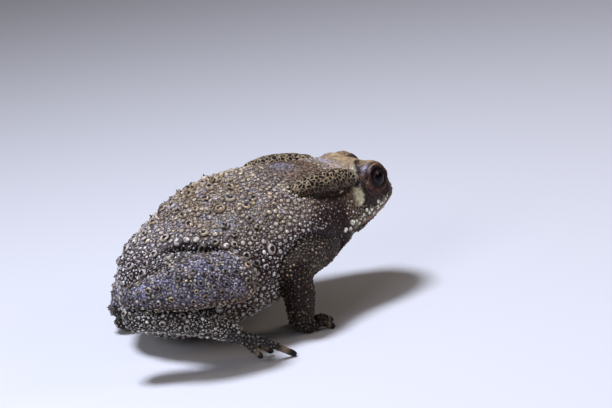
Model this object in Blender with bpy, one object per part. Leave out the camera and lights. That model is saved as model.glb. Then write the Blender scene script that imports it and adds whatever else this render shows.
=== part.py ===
"""A sitting Asian common toad, life size, as a still model.

Blender 4.5, metres. +X runs to the snout, +Y to the toad's left, +Z up, and the toad rests on Z = 0.
Every figure below is in body units: one unit is a millimetre on a toad 90 mm from snout to vent.
"""

import math

import bmesh
import bpy
import numpy as np
from mathutils import Matrix, Vector
from mathutils.bvhtree import BVHTree

# Driving dimensions
SNOUT_VENT = 0.090
UNIT = SNOUT_VENT / 90
GAP = 0.0003 / UNIT
SIDES = {"right": -1, "left": 1}

# Smoothness of the forms
BODY_RINGS = 32
BODY_SEGMENTS = 26
LIMB_RINGS = 8
LIMB_SEGMENTS = 12
DIGIT_RINGS = 4
DIGIT_SEGMENTS = 6
END_ANGLES = (64, 34)

# Trunk and head in one: x, top, bottom, half width, height of the widest level, squareness above and below
BODY = (
    (-34.5, 21.0, 14.5, 2.5, 17.0, 2.0, 2.0),
    (-33.4, 26.0, 10.4, 6.5, 17.0, 2.0, 2.0),
    (-30.5, 30.5, 7.0, 11.5, 17.0, 2.0, 2.0),
    (-26.0, 33.8, 4.6, 16.5, 17.5, 2.0, 2.1),
    (-19.0, 38.0, 3.2, 22.0, 19.0, 2.0, 2.2),
    (-11.0, 42.4, 3.2, 26.5, 21.5, 2.0, 2.2),
    (-3.0, 45.2, 5.0, 29.0, 23.5, 2.0, 2.1),
    (6.0, 46.5, 7.4, 28.5, 25.0, 2.1, 2.0),
    (15.0, 46.6, 9.6, 26.0, 26.5, 2.2, 2.0),
    (24.0, 46.0, 11.8, 22.6, 28.0, 2.3, 2.0),
    (31.0, 45.2, 14.8, 19.0, 29.0, 2.4, 1.9),
    (37.0, 44.6, 19.2, 17.8, 30.0, 2.5, 1.7),
    (42.0, 44.2, 22.2, 16.4, 30.5, 2.7, 1.7),
    (46.5, 43.0, 24.4, 14.2, 31.0, 2.7, 1.7),
    (50.5, 40.8, 26.9, 11.2, 31.2, 2.6, 1.7),
    (54.0, 37.4, 29.0, 7.6, 31.4, 2.4, 1.8),
    (56.2, 34.8, 30.0, 4.0, 31.6, 2.2, 2.0),
    (56.9, 33.0, 31.0, 1.6, 31.8, 2.0, 2.0),
)
NECK_TOP = Vector((32.0, 0, 46.0))
NECK_FOOT = Vector((37.0, 0, 15.0))
MOUTH_BACK = Vector((33.0, 0, 24.9))
MOUTH_FRONT = Vector((57.0, 0, 30.8))

# Head features, for the left side: y turns over for the right
EYE = Vector((46.3, 8.8, 38.4))
EYE_RADIUS = 4.6
GAZE = Vector((0.26, 0.93, 0.14)).normalized()
LID_RADIUS = 5.4
OPENING_LENGTH = 4.2
OPENING_HEIGHT = 3.4
TYMPANUM = Vector((37.4, 16.8, 35.7))
TYMPANUM_HEIGHT = 3.1
TYMPANUM_WIDTH = 2.7
NOSTRIL = Vector((54.6, 3.4, 35.9))
CREST = (
    (54.2, 4.4, 37.5),
    (51.4, 7.0, 40.5),
    (49.6, 7.4, 43.0),
    (47.4, 6.2, 44.5),
    (44.6, 6.2, 45.0),
    (42.0, 8.0, 45.0),
    (40.8, 11.2, 43.5),
    (40.2, 14.0, 41.0),
    (40.0, 15.8, 38.6),
)
CREST_RADIUS = 0.85
CREST_RINGS = 12
LIP_RADIUS = 0.8
LIP_RINGS = 9
LIP_STATIONS = (36.0, 40.0, 44.0, 48.0, 51.5, 54.2)
# Parotoid gland: x, y, z of its middle line and its half width, back to front
PAROTOID = (
    (19.8, 16.9, 42.5, 2.3),
    (25.0, 16.2, 42.5, 3.1),
    (31.5, 14.7, 42.0, 3.1),
    (36.6, 13.3, 41.4, 2.6),
)

# Limbs: x, y, z along each bone's line with the half thickness there, root to tip
THIGH = {
    "right": ((-24.0, -8.0, 20.0, 9.5), (-19.5, -21.0, 24.0, 8.0), (-14.5, -32.0, 27.6, 6.2)),
    "left": ((-23.0, 8.0, 18.0, 9.5), (-16.0, 22.0, 20.5, 8.8), (-8.0, 33.0, 20.5, 6.4)),
}
SHANK = {
    "right": ((-13.4, -36.0, 26.6, 6.4), (-26.0, -34.0, 27.6, 6.6), (-38.7, -25.8, 25.0, 4.4)),
    "left": ((-8.0, 35.5, 19.5, 6.2), (-17.0, 31.5, 14.0, 6.8), (-27.5, 21.5, 7.4, 4.6)),
}
TARSUS = {
    "right": (
        (-39.8, -26.0, 20.2, 4.1),
        (-31.5, -30.5, 18.4, 3.9),
        (-23.5, -34.0, 15.8, 3.5),
        (-16.0, -36.0, 11.8, 2.5),
    ),
    "left": (
        (-27.5, 21.5, 4.8, 4.0),
        (-20.0, 26.5, 4.4, 3.8),
        (-12.0, 31.0, 4.0, 3.4),
        (0.0, 35.0, 2.8, 2.6),
    ),
}
UPPER_ARM = {
    "right": ((23.0, -15.0, 23.0, 6.0), (15.0, -22.5, 24.0, 5.4), (9.0, -26.0, 22.5, 4.7)),
    "left": ((24.0, 15.0, 23.0, 6.0), (16.0, 22.5, 24.0, 5.4), (10.0, 26.0, 22.5, 4.7)),
}
FOREARM = {
    "right": ((9.2, -26.2, 21.6, 4.6), (10.8, -24.5, 13.5, 4.6), (12.0, -21.0, 4.6, 3.5)),
    "left": ((10.2, 26.2, 21.6, 4.6), (11.8, 24.5, 13.5, 4.6), (13.0, 21.0, 4.6, 3.5)),
}
PALM = {"right": Vector((13.4, -20.5, 2.4)), "left": Vector((14.4, 20.5, 2.4))}
# Fingers: root and tip as x, y from the palm, y outward; half thickness at the root
FINGERS = (
    ((0.5, -1.6), (-0.6, -8.4), 1.6),
    ((2.0, -1.4), (5.6, -7.4), 1.55),
    ((2.6, 0.2), (9.4, -2.4), 1.6),
    ((1.8, 1.8), (7.2, 3.2), 1.5),
)
# Toes from the end of the tarsus, y outward, with the height of the tip
TOES = {
    "right": (
        ((-3.4, -1.7), (2.0, -6.6, 7.0), 1.25),
        ((-2.4, -1.5), (7.0, -6.8, 4.4), 1.3),
        ((-1.0, -0.9), (12.6, -4.4, 1.6), 1.4),
        ((0.0, 0.2), (17.4, 0.8, 0.9), 1.4),
        ((-1.2, 1.2), (6.8, 1.6, 3.2), 1.3),
    ),
    "left": (
        ((-4.0, -1.7), (0.0, -8.0, 0.9), 1.25),
        ((-2.8, -1.5), (5.6, -8.4, 0.9), 1.3),
        ((-1.2, -0.9), (11.6, -6.2, 0.9), 1.4),
        ((0.0, 0.2), (16.6, -2.2, 0.9), 1.4),
        ((-1.0, 1.4), (4.2, 3.4, 0.9), 1.3),
    ),
}
TIP_HEIGHT = 0.9
WEB_THICKNESS = 0.7

# Warts on each node: how many, and the smallest and largest radius
WART_SEED = 7
WART_TRIES = 40
WART_HEIGHT = 0.52
WART_FOOT = 0.4
WART_SHOULDER = 0.72
WART_FLOOR = 3.0
WART_DOWNWARD = -0.35
WART_CLEAR = 0.9
JAW_WARTS = (37.2, 39.4, 41.7, 44.0, 46.4, 48.8)
JAW_WART_RADIUS = 0.75
WARTS = {
    "trunk": (100, 0.9, 1.9),
    "thigh": (10, 0.8, 1.4),
    "shank": (16, 0.8, 1.5),
    "upper_arm": (4, 0.7, 1.0),
    "forearm": (9, 0.7, 1.1),
    "foot": (7, 0.6, 1.0),
}

SKIN_COLOURS = {
    "back": (0.20, 0.15, 0.10),
    "limb": (0.19, 0.15, 0.12),
    "head": (0.24, 0.17, 0.10),
    "throat": (0.22, 0.17, 0.13),
    "gland": (0.16, 0.12, 0.08),
    "drum": (0.50, 0.44, 0.30),
    "eye": (0.05, 0.03, 0.02),
}


def smooth(knots, count):
    """Evenly stepped rows along the Catmull-Rom curve through the knots."""
    rows = np.array(knots, float)
    padded = np.vstack([2 * rows[0] - rows[1], rows, 2 * rows[-1] - rows[-2]])
    out = []
    for step in np.linspace(0, len(rows) - 1, count):
        i = min(int(step), len(rows) - 2)
        t = step - i
        a, b, c, d = padded[i : i + 4]
        out.append(b + 0.5 * t * (c - a + t * (2 * a - 5 * b + 4 * c - d + t * (3 * (b - c) + d - a))))
    return out


def oval(centre, side, rise, half_width, up, down, count, square_up=2.1, square_down=2.1):
    """A squared oval round the centre, half_width along side, up and down along rise."""
    points = []
    for i in range(count):
        angle = 2 * math.pi * i / count
        c, s = math.cos(angle), math.sin(angle)
        square = square_up if s > 0 else square_down
        across = half_width * math.copysign(abs(c) ** (2 / square), c)
        tall = (up if s > 0 else down) * math.copysign(abs(s) ** (2 / square), s)
        points.append(centre + side * across + rise * tall)
    return points


def material(name, colour, roughness=0.6):
    made = bpy.data.materials.new(name)
    made.use_nodes = True
    shader = made.node_tree.nodes["Principled BSDF"]
    shader.inputs["Base Color"].default_value = (*colour, 1)
    shader.inputs["Roughness"].default_value = roughness
    return made


def solid(name, bm, tone="back"):
    """The bmesh, modelled in body units, as an object in metres."""
    bmesh.ops.recalc_face_normals(bm, faces=bm.faces)
    bmesh.ops.scale(bm, vec=(UNIT, UNIT, UNIT), verts=bm.verts)
    mesh = bpy.data.meshes.new(name)
    bm.to_mesh(mesh)
    bm.free()
    obj = bpy.data.objects.new(name, mesh)
    bpy.context.scene.collection.objects.link(obj)
    mesh.materials.append(material(name + " " + tone, SKIN_COLOURS[tone], 0.15 if tone == "eye" else 0.6))
    return obj


def extruded(bm, ring):
    """The ring drawn out by one step: its new vertices, in the same order."""
    pairs = zip(ring, ring[1:] + ring[:1])
    edges = [bm.edges.get(pair) for pair in pairs]
    made = bmesh.ops.extrude_edge_only(bm, edges=edges)["geom"]
    new = {v for v in made if isinstance(v, bmesh.types.BMVert)}
    return [next(e.other_vert(v) for e in v.link_edges if e.other_vert(v) in new) for v in ring]


def close_ring(bm, ring):
    """Fills the ring with triangles round a new middle vertex, which it returns."""
    edges = [bm.edges.get(pair) for pair in zip(ring, ring[1:] + ring[:1])]
    made = bmesh.ops.contextual_create(bm, geom=edges)["faces"]
    return bmesh.ops.poke(bm, faces=made)["verts"][0]


def lofted(bm, rings):
    """Adds a closed solid through rings of like points, made by drawing out the first ring."""
    ring = bmesh.ops.create_circle(bm, segments=len(rings[0]), radius=1)["verts"]
    for number, points in enumerate(rings):
        if number:
            ring = extruded(bm, ring)
        for vert, point in zip(ring, points):
            vert.co = point
        if number in (0, len(rings) - 1):
            close_ring(bm, ring)


def tube_rings(knots, rings, segments, tall=1.0, up=Vector((0, 0, 1))):
    """Rings square to a smooth line of x, y, z and half thickness, with round ends.

    Tall is the rings' height over their width.
    """
    rows = smooth(knots, rings)
    centres = [Vector(row[:3]) for row in rows]
    made = []
    for i, (centre, row) in enumerate(zip(centres, rows)):
        along = (centres[min(i + 1, rings - 1)] - centres[max(i - 1, 0)]).normalized()
        side = along.cross(up).normalized()
        rise = side.cross(along)
        ends = {0: -1, rings - 1: 1}
        steps = [(0, 1)]
        if i in ends:
            steps = [(math.sin(math.radians(a)), math.cos(math.radians(a))) for a in END_ANGLES]
            steps = (steps + [(0, 1)]) if i == 0 else ([(0, 1)] + steps[::-1])
        for reach, shrink in steps:
            at = centre + along * (ends.get(i, 0) * reach * row[3])
            r = row[3] * shrink
            width, height = r / math.sqrt(tall), r * math.sqrt(tall)
            made.append(oval(at, side, rise, width, height, height, segments))
    return made


def tube(name, knots, tone="limb", rings=LIMB_RINGS, segments=LIMB_SEGMENTS, tall=1.0):
    bm = bmesh.new()
    lofted(bm, tube_rings(knots, rings, segments, tall))
    return solid(name, bm, tone)


def ball(name, centre, radii, axis=Vector((0, 0, 1)), tone="head", segments=16, rings=10):
    """An ellipsoid whose third radius lies along the axis, and whose first lies level."""
    bm = bmesh.new()
    bmesh.ops.create_uvsphere(bm, u_segments=segments, v_segments=rings, radius=1)
    turn = axis.to_track_quat("Z", "Y").to_matrix().to_4x4()
    matrix = Matrix.Translation(centre) @ turn @ Matrix.Diagonal((*radii, 1))
    bmesh.ops.transform(bm, matrix=matrix, verts=bm.verts)
    return solid(name, bm, tone)


def mirrored(point, side):
    return Vector((point[0], point[1] * SIDES[side], point[2]))


def remove(obj):
    mesh = obj.data
    bpy.data.objects.remove(obj)
    bpy.data.meshes.remove(mesh)


def apply_modifiers(obj):
    graph = bpy.context.evaluated_depsgraph_get()
    old = obj.data
    made = bpy.data.meshes.new_from_object(obj.evaluated_get(graph))
    obj.modifiers.clear()
    obj.data = made
    bpy.data.meshes.remove(old)
    made.name = obj.name


def largest_only(obj):
    """Keeps the closed surface that holds the most, and drops loose scraps."""
    bm = bmesh.new()
    bm.from_mesh(obj.data)
    bmesh.ops.remove_doubles(bm, verts=bm.verts, dist=1e-6)
    left = set(bm.faces)
    shells = []
    while left:
        shell, front = set(), [left.pop()]
        while front:
            face = front.pop()
            shell.add(face)
            near = {f for e in face.edges for f in e.link_faces} & left
            left -= near
            front.extend(near)
        shells.append(shell)
    shells.sort(key=lambda shell: sum(f.calc_center_median().dot(f.normal) * f.calc_area() for f in shell))
    drop = [f for shell in shells[:-1] for f in shell]
    bmesh.ops.delete(bm, geom=drop, context="FACES")
    bm.to_mesh(obj.data)
    bm.free()


def combine(obj, other, operation, solver="EXACT"):
    """Joins or cuts obj by another object or by a collection of them, which is then removed."""
    modifier = obj.modifiers.new(operation, "BOOLEAN")
    modifier.operation = operation
    modifier.solver = solver
    if isinstance(other, bpy.types.Collection):
        modifier.operand_type = "COLLECTION"
        modifier.collection = other
        apply_modifiers(obj)
        for piece in list(other.objects):
            remove(piece)
        bpy.data.collections.remove(other)
    else:
        modifier.object = other
        apply_modifiers(obj)
        remove(other)
    largest_only(obj)


def grown(obj, by=GAP):
    """A copy of obj with its surface moved out."""
    copy = bpy.data.objects.new(obj.name + "_grown", obj.data.copy())
    bpy.context.scene.collection.objects.link(copy)
    bm = bmesh.new()
    bm.from_mesh(copy.data)
    bm.normal_update()
    for vert in bm.verts:
        vert.co += vert.normal * by * UNIT * vert.calc_shell_factor()
    bm.to_mesh(copy.data)
    bm.free()
    return copy


def carve(obj, *neighbours):
    """Cuts obj back so that it meets each neighbour face to face, a gap apart."""
    for neighbour in neighbours:
        combine(obj, grown(neighbour), "DIFFERENCE", "MANIFOLD")


def trim(obj, point, normal, gap=0.0):
    """Cuts away what lies beyond the plane through point, on the side that normal points to."""
    size = 300
    bm = bmesh.new()
    bmesh.ops.create_cube(bm, size=size)
    turn = normal.to_track_quat("Z", "Y").to_matrix().to_4x4()
    move = Matrix.Translation(point) @ turn @ Matrix.Translation((0, 0, size / 2 - gap))
    bmesh.ops.transform(bm, matrix=move, verts=bm.verts)
    combine(obj, solid("trimmer", bm), "DIFFERENCE")


def copied(obj, name, tone):
    copy = bpy.data.objects.new(name, obj.data.copy())
    bpy.context.scene.collection.objects.link(copy)
    copy.data.materials.clear()
    copy.data.materials.append(material(name + " " + tone, SKIN_COLOURS[tone]))
    return copy


def body_form():
    """The trunk and head as one form, from the vent to the snout."""
    rings = []
    across, rise = Vector((0, 1, 0)), Vector((0, 0, 1))
    for x, top, bottom, half_width, level, *squares in smooth(BODY, BODY_RINGS):
        centre = Vector((x, 0, level))
        up, down = top - level, level - bottom
        rings.append(oval(centre, across, rise, half_width, up, down, BODY_SEGMENTS, *squares))
    bm = bmesh.new()
    lofted(bm, rings)
    return solid("body", bm)


def build_head_and_trunk():
    """Parts the one form by thin cuts into trunk, head and lower jaw."""
    body = body_form()
    neck = (NECK_TOP - NECK_FOOT).cross(Vector((0, -1, 0))).normalized()
    mouth = (MOUTH_FRONT - MOUTH_BACK).cross(Vector((0, 1, 0))).normalized()
    trunk = copied(body, "trunk", "back")
    trim(trunk, NECK_TOP, neck)
    trim(trunk, Vector((0, 0, 0)), Vector((0, 0, -1)))
    jaw = copied(body, "lower_jaw", "throat")
    trim(jaw, NECK_TOP, -neck, GAP)
    trim(jaw, MOUTH_BACK, mouth)
    head = body
    head.name = "head"
    trim(head, NECK_TOP, -neck, GAP)
    trim(head, MOUTH_BACK, -mouth, GAP)
    for side in SIDES:
        add_ridges(head, side)
        add_eye(head, side)
        add_nostril(head, side)
    add_jaw_warts(head)
    return trunk, head, jaw


def surface(nodes):
    """A search tree over the surfaces of the nodes, in body units."""
    verts, faces = [], []
    for node in nodes:
        first = len(verts)
        verts.extend(v.co / UNIT for v in node.data.vertices)
        faces.extend([first + i for i in p.vertices] for p in node.data.polygons)
    return BVHTree.FromPolygons(verts, faces)


def add_ridges(head, side):
    """The bony crest round the eye and down to the drum, and the lip above the mouth."""
    skin = surface([head])
    crest = []
    for point in CREST:
        at, normal = skin.find_nearest(mirrored(point, side))[:2]
        crest.append((*(at + normal * 0.1), CREST_RADIUS))
    lip = []
    slope = (MOUTH_FRONT.z - MOUTH_BACK.z) / (MOUTH_FRONT.x - MOUTH_BACK.x)
    for x in LIP_STATIONS:
        level = MOUTH_BACK.z + (x - MOUTH_BACK.x) * slope + LIP_RADIUS + 0.15
        at = skin.ray_cast(Vector((x, 30 * SIDES[side], level)), Vector((0, -SIDES[side], 0)))[0]
        lip.append((at.x, at.y - 0.35 * SIDES[side], at.z, LIP_RADIUS))
    lip.append((MOUTH_FRONT.x - 0.9, 0.0, MOUTH_FRONT.z + LIP_RADIUS + 0.1, LIP_RADIUS))
    combine(head, tube("crest", crest, rings=CREST_RINGS, segments=6), "UNION", "MANIFOLD")
    combine(head, tube("lip", lip, rings=LIP_RINGS, segments=6), "UNION", "MANIFOLD")


def add_nostril(head, side):
    at, normal = surface([head]).find_nearest(mirrored(NOSTRIL, side))[:2]
    pit = ball("nostril", at, (0.75, 0.5, 0.9), normal, segments=7, rings=6)
    combine(head, pit, "DIFFERENCE", "MANIFOLD")


def add_eye(head, side):
    """The lid's dome, its socket and opening, and the eye itself."""
    centre, gaze = mirrored(EYE, side), mirrored(GAZE, side)
    combine(head, ball("lid", centre, (LID_RADIUS,) * 3, gaze, segments=18, rings=11), "UNION", "MANIFOLD")
    hollow = EYE_RADIUS + GAP
    socket = ball("socket", centre, (hollow,) * 3, gaze, segments=14, rings=9)
    opening = (OPENING_LENGTH, OPENING_HEIGHT, 3.2)
    combine(socket, ball("opening", centre + gaze * 5.0, opening, gaze), "UNION", "MANIFOLD")
    combine(head, socket, "DIFFERENCE", "MANIFOLD")
    ball("eye_" + side, centre, (EYE_RADIUS,) * 3, gaze, "eye", 14, 9)
    out = mirrored((0.1, 1.0, -0.05), side).normalized()
    radii = (TYMPANUM_WIDTH, TYMPANUM_HEIGHT, 1.2)
    drum = ball("tympanum_" + side, mirrored(TYMPANUM, side), radii, out, "drum", 12, 7)
    carve(head, drum)


def build_digit(bm, root, tip, thick):
    middle = (root + tip) / 2 + Vector((0, 0, 0.8))
    knots = ((*root, thick), (*middle, thick * 0.85), (*tip, thick * 0.72))
    lofted(bm, tube_rings(knots, DIGIT_RINGS, DIGIT_SEGMENTS))


def add_web(foot, first, second):
    """A thin web between two toes, each given as its root and tip."""
    corners = []
    for root, tip in (first, second):
        reach = 0.5
        corners.append((root.lerp(tip, -0.1), root.lerp(tip, reach)))
    (a, b), (c, d) = corners
    bm = bmesh.new()
    half = Vector((0, 0, WEB_THICKNESS / 2))
    lofted(bm, [[p - half for p in (a, b, d, c)], [p + half for p in (a, b, d, c)]])
    combine(foot, solid("web", bm), "UNION")


def build_limbs(trunk):
    floor = (Vector((0, 0, 0)), Vector((0, 0, -1)))
    for side, sign in SIDES.items():
        thigh = tube("thigh_" + side, THIGH[side])
        shank = tube("shank_" + side, SHANK[side], tall=1.18)
        carve(shank, trunk)
        carve(thigh, trunk, shank)
        upper = tube("upper_arm_" + side, UPPER_ARM[side])
        carve(upper, trunk)
        forearm = tube("forearm_" + side, FOREARM[side])
        carve(forearm, trunk, upper)
        foot = tube("foot_" + side, TARSUS[side])
        end = Vector(TARSUS[side][-1][:3])
        toes = []
        for root, tip, thick in TOES[side]:
            bm = bmesh.new()
            lift = (TARSUS[side][-2][2] - end.z) / 9.5
            start = Vector((end.x + root[0], end.y + root[1] * sign, end.z - 0.6 - root[0] * lift))
            finish = Vector((end.x + tip[0], end.y + tip[1] * sign, tip[2]))
            build_digit(bm, start, finish, thick)
            combine(foot, solid("toe", bm), "UNION")
            toes.append((start, finish))
        for first, second in zip(toes, toes[1:]):
            add_web(foot, first, second)
        trim(foot, *floor)
        carve(foot, shank, thigh, trunk)
        palm = PALM[side]
        hand = ball("hand_" + side, palm, (4.6, 4.2, 2.8), tone="limb")
        for root, tip, thick in FINGERS:
            bm = bmesh.new()
            start = Vector((palm.x + root[0], palm.y + root[1] * sign, 2.6))
            finish = Vector((palm.x + tip[0], palm.y + tip[1] * sign, TIP_HEIGHT))
            build_digit(bm, start, finish, thick)
            combine(hand, solid("finger", bm), "UNION")
        trim(hand, *floor)
        carve(hand, forearm, trunk)


def wart(at, normal, radius):
    """A low five-sided dome, its foot sunk in the skin."""
    bm = bmesh.new()
    ring = bmesh.ops.create_circle(bm, segments=5, radius=radius)["verts"]
    close_ring(bm, ring).co.z = -WART_FOOT * radius
    upper = extruded(bm, ring)
    tip = close_ring(bm, upper)
    for vert in ring:
        vert.co.z = -WART_FOOT * radius
    for vert in upper:
        vert.co = (vert.co.x * WART_SHOULDER, vert.co.y * WART_SHOULDER, WART_HEIGHT * 0.7 * radius)
    tip.co.z = WART_HEIGHT * radius
    turn = normal.to_track_quat("Z", "Y").to_matrix().to_4x4()
    bmesh.ops.transform(bm, matrix=Matrix.Translation(at) @ turn, verts=bm.verts)
    return solid("wart", bm)


def fuse_warts(node, bumps):
    """Joins the bumps, each a place, a normal and a radius, to the node in one union."""
    group = bpy.data.collections.new("warts")
    bpy.context.scene.collection.children.link(group)
    for at, normal, radius in bumps:
        bump = wart(at, normal, radius)
        bpy.context.scene.collection.objects.unlink(bump)
        group.objects.link(bump)
    combine(node, group, "UNION", "MANIFOLD")


def scatter_warts(node, others, count, small, large, rng):
    """Warts over the node's own skin, clear of one another, of its neighbours and of the floor."""
    skin, near = surface([node]), surface(others)
    corners = np.array([v.co[:] for v in node.data.vertices]) / UNIT
    low, high = corners.min(axis=0), corners.max(axis=0)
    placed = []
    for _ in range(count * WART_TRIES):
        spot, aim, size = rng.random(3), Vector(rng.normal(size=3)).normalized(), rng.random()
        inside = Vector(low + (high - low) * (0.2 + 0.6 * spot))
        at, normal = skin.ray_cast(inside + aim * 200, -aim)[:2]
        if at is None:
            continue
        radius = small + (large - small) * size**2
        if at.z < WART_FLOOR + radius or normal.z < WART_DOWNWARD:
            continue
        if near.find_nearest(at)[3] < radius * 1.25 + WART_CLEAR:
            continue
        if any((at - other).length < (radius + reach) * 1.12 + 0.25 for other, _, reach in placed):
            continue
        placed.append((at, normal, radius))
        if len(placed) == count:
            break
    fuse_warts(node, placed)


def add_jaw_warts(head):
    """The row of warts above the lip, from the drum forward."""
    skin = surface([head])
    slope = (MOUTH_FRONT.z - MOUTH_BACK.z) / (MOUTH_FRONT.x - MOUTH_BACK.x)
    bumps = []
    for sign in SIDES.values():
        for x in JAW_WARTS:
            level = MOUTH_BACK.z + (x - MOUTH_BACK.x) * slope + 2.9
            at, normal = skin.ray_cast(Vector((x, 30 * sign, level)), Vector((0, -sign, 0)))[:2]
            bumps.append((at, normal, JAW_WART_RADIUS))
    fuse_warts(head, bumps)


def add_all_warts(nodes):
    rng = np.random.default_rng(WART_SEED)
    for name, (count, small, large) in WARTS.items():
        for node in [n for n in nodes if n.name.startswith(name)]:
            scatter_warts(node, [n for n in nodes if n != node], count, small, large, rng)


def place_on_floor(nodes):
    """Moves the whole toad so that the middle of its lower face is the origin."""
    corners = np.array([v.co[:] for node in nodes for v in node.data.vertices])
    low, high = corners.min(axis=0), corners.max(axis=0)
    move = Matrix.Translation((-(low[0] + high[0]) / 2, -(low[1] + high[1]) / 2, -low[2]))
    for node in nodes:
        node.data.transform(move)


def main():
    for obj in list(bpy.data.objects):
        bpy.data.objects.remove(obj)
    trunk, head, jaw = build_head_and_trunk()
    build_limbs(trunk)
    for side in SIDES:
        knots = [(x, y * SIDES[side], z, r) for x, y, z, r in PAROTOID]
        gland = tube("parotoid_" + side, knots, "gland")
        carve(gland, trunk, head)
    nodes = [obj for obj in bpy.data.objects if obj.type == "MESH"]
    add_all_warts(nodes)
    place_on_floor(nodes)


main()
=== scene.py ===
"""The finished look of the life-size toad: one warty skin over the CAD frame, eyes, and a plain studio."""

import math

import bmesh
import bpy
import numpy as np
from mathutils import Matrix, Vector, noise
from mathutils.bvhtree import BVHTree


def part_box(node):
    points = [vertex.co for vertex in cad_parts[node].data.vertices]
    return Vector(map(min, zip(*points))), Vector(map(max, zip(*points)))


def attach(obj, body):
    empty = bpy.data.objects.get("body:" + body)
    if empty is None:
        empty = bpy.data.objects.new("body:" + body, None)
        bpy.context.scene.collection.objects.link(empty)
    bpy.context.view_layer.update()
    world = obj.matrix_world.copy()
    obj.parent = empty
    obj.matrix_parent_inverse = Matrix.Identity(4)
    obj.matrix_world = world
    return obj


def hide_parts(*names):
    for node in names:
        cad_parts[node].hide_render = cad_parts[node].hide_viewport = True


bl_info = {
    "name": "Sitting toad",
    "version": (1, 0, 0),
    "blender": (4, 5, 0),
    "location": "3D View > Sidebar > Toad",
    "description": "Builds the skin, warts and eyes of a life-size toad over its CAD frame",
    "category": "Object",
}

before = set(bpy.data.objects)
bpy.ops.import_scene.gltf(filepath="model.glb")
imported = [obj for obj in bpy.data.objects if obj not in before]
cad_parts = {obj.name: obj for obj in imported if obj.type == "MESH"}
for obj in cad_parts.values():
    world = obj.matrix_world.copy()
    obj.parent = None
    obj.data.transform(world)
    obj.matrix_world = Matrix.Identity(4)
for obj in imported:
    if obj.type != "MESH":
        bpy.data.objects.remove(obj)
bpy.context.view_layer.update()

# The toad's own plan in millimetres: +X to the snout, +Y to its left, floor at Z = 0
MM = 0.001
SIDES = {"right": -1, "left": 1}
EYE = Vector((46.3, 8.8, 38.4))
EYE_RADIUS = 4.6
GAZE = Vector((0.26, 0.93, 0.14)).normalized()
LID_RADIUS = 5.4
SOCKET_RADIUS = 3.7
# Half width, upper and lower half height of the opening between the lids, as shares of the eye's distance
OPENING = (0.62, 0.66, 0.68)
LID_RISE = 5.15
LIDS_END = 7.2
# Folds of the lids: distance from the eye's middle, 1 at the opening's edge, and height
LID_FOLDS = ((1.14, 0.4), (1.42, 0.34), (1.68, 0.26))
# Trunk and head in one: x, top, bottom, half width, height of the widest level, squareness above and below
BODY = (
    (-34.5, 21.0, 14.5, 2.5, 17.0, 2.0, 2.0),
    (-33.4, 26.0, 10.4, 6.5, 17.0, 2.0, 2.0),
    (-30.5, 30.5, 7.0, 11.5, 17.0, 2.0, 2.0),
    (-26.0, 33.8, 4.6, 16.5, 17.5, 2.0, 2.1),
    (-19.0, 38.0, 3.2, 22.0, 19.0, 2.0, 2.2),
    (-11.0, 42.4, 3.2, 26.5, 21.5, 2.0, 2.2),
    (-3.0, 45.2, 5.0, 29.0, 23.5, 2.0, 2.1),
    (6.0, 46.5, 7.4, 28.5, 25.0, 2.1, 2.0),
    (15.0, 46.6, 9.6, 26.0, 26.5, 2.2, 2.0),
    (24.0, 46.0, 11.8, 22.6, 28.0, 2.3, 2.0),
    (31.0, 45.2, 14.8, 19.0, 29.0, 2.4, 1.9),
    (37.0, 44.6, 19.2, 17.8, 30.0, 2.5, 1.7),
    (42.0, 44.2, 22.2, 16.4, 30.5, 2.7, 1.7),
    (46.5, 43.0, 24.7, 14.2, 31.0, 2.7, 1.7),
    (50.5, 40.8, 27.7, 11.0, 31.2, 2.6, 1.7),
    (54.0, 37.4, 30.0, 7.4, 31.4, 2.4, 1.8),
    (55.9, 34.8, 30.8, 3.9, 31.6, 2.2, 2.0),
    (56.5, 33.0, 31.3, 1.6, 31.8, 2.0, 2.0),
)
MOUTH_BACK = Vector((33.0, 0, 24.9))
MOUTH_FRONT = Vector((57.0, 0, 30.8))
TYMPANUM = Vector((37.4, 16.8, 35.7))
TYMPANUM_SIZE = (2.6, 3.05)
NOSTRIL = Vector((54.6, 3.4, 35.9))
# Middle of the painted highlight on the skin behind each eye
HIGHLIGHT_BEHIND_EYE = (43.6, 10.6, 41.6)
BROW = (41.6, 13.0, 39.0)
MUZZLE = (55.4, 4.0, 35.4)
CREST = (
    (54.2, 4.4, 37.5),
    (51.4, 7.0, 40.5),
    (49.6, 7.4, 43.0),
    (47.4, 6.2, 44.5),
    (44.6, 6.2, 45.0),
    (42.0, 8.0, 45.0),
    (40.8, 11.2, 43.5),
    (40.2, 14.0, 41.0),
    (40.0, 15.8, 38.6),
    (40.6, 17.0, 36.2),
    (40.6, 17.4, 33.8),
)
PAROTOID = (
    (18.6, 17.2, 42.5, 2.5),
    (24.0, 16.5, 42.6, 3.3),
    (31.0, 14.8, 42.0, 3.5),
    (36.6, 13.4, 41.2, 2.8),
)
# Limbs: x, y, z along each bone's line with the half thickness there, root to tip
THIGH = {
    "right": ((-24.0, -8.0, 20.0, 9.5), (-19.5, -21.0, 24.0, 8.0), (-14.5, -32.0, 27.6, 6.2)),
    "left": ((-23.0, 8.0, 18.0, 9.5), (-16.0, 22.0, 20.5, 8.8), (-8.0, 33.0, 20.5, 6.4)),
}
SHANK = {
    "right": ((-13.4, -36.0, 26.6, 6.4), (-26.0, -34.0, 27.6, 6.6), (-38.7, -25.8, 25.0, 4.4)),
    "left": ((-8.0, 35.5, 19.5, 6.2), (-17.0, 31.5, 14.0, 6.8), (-27.5, 21.5, 7.4, 4.6)),
}
TARSUS = {
    "right": (
        (-39.8, -26.0, 20.2, 4.1),
        (-31.5, -30.5, 18.4, 3.9),
        (-23.5, -34.0, 15.8, 3.5),
        (-16.0, -36.0, 11.8, 2.5),
    ),
    "left": (
        (-27.5, 21.5, 4.8, 4.0),
        (-20.0, 26.5, 4.4, 3.8),
        (-12.0, 31.0, 4.0, 3.4),
        (0.0, 35.0, 2.8, 2.6),
    ),
}
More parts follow.
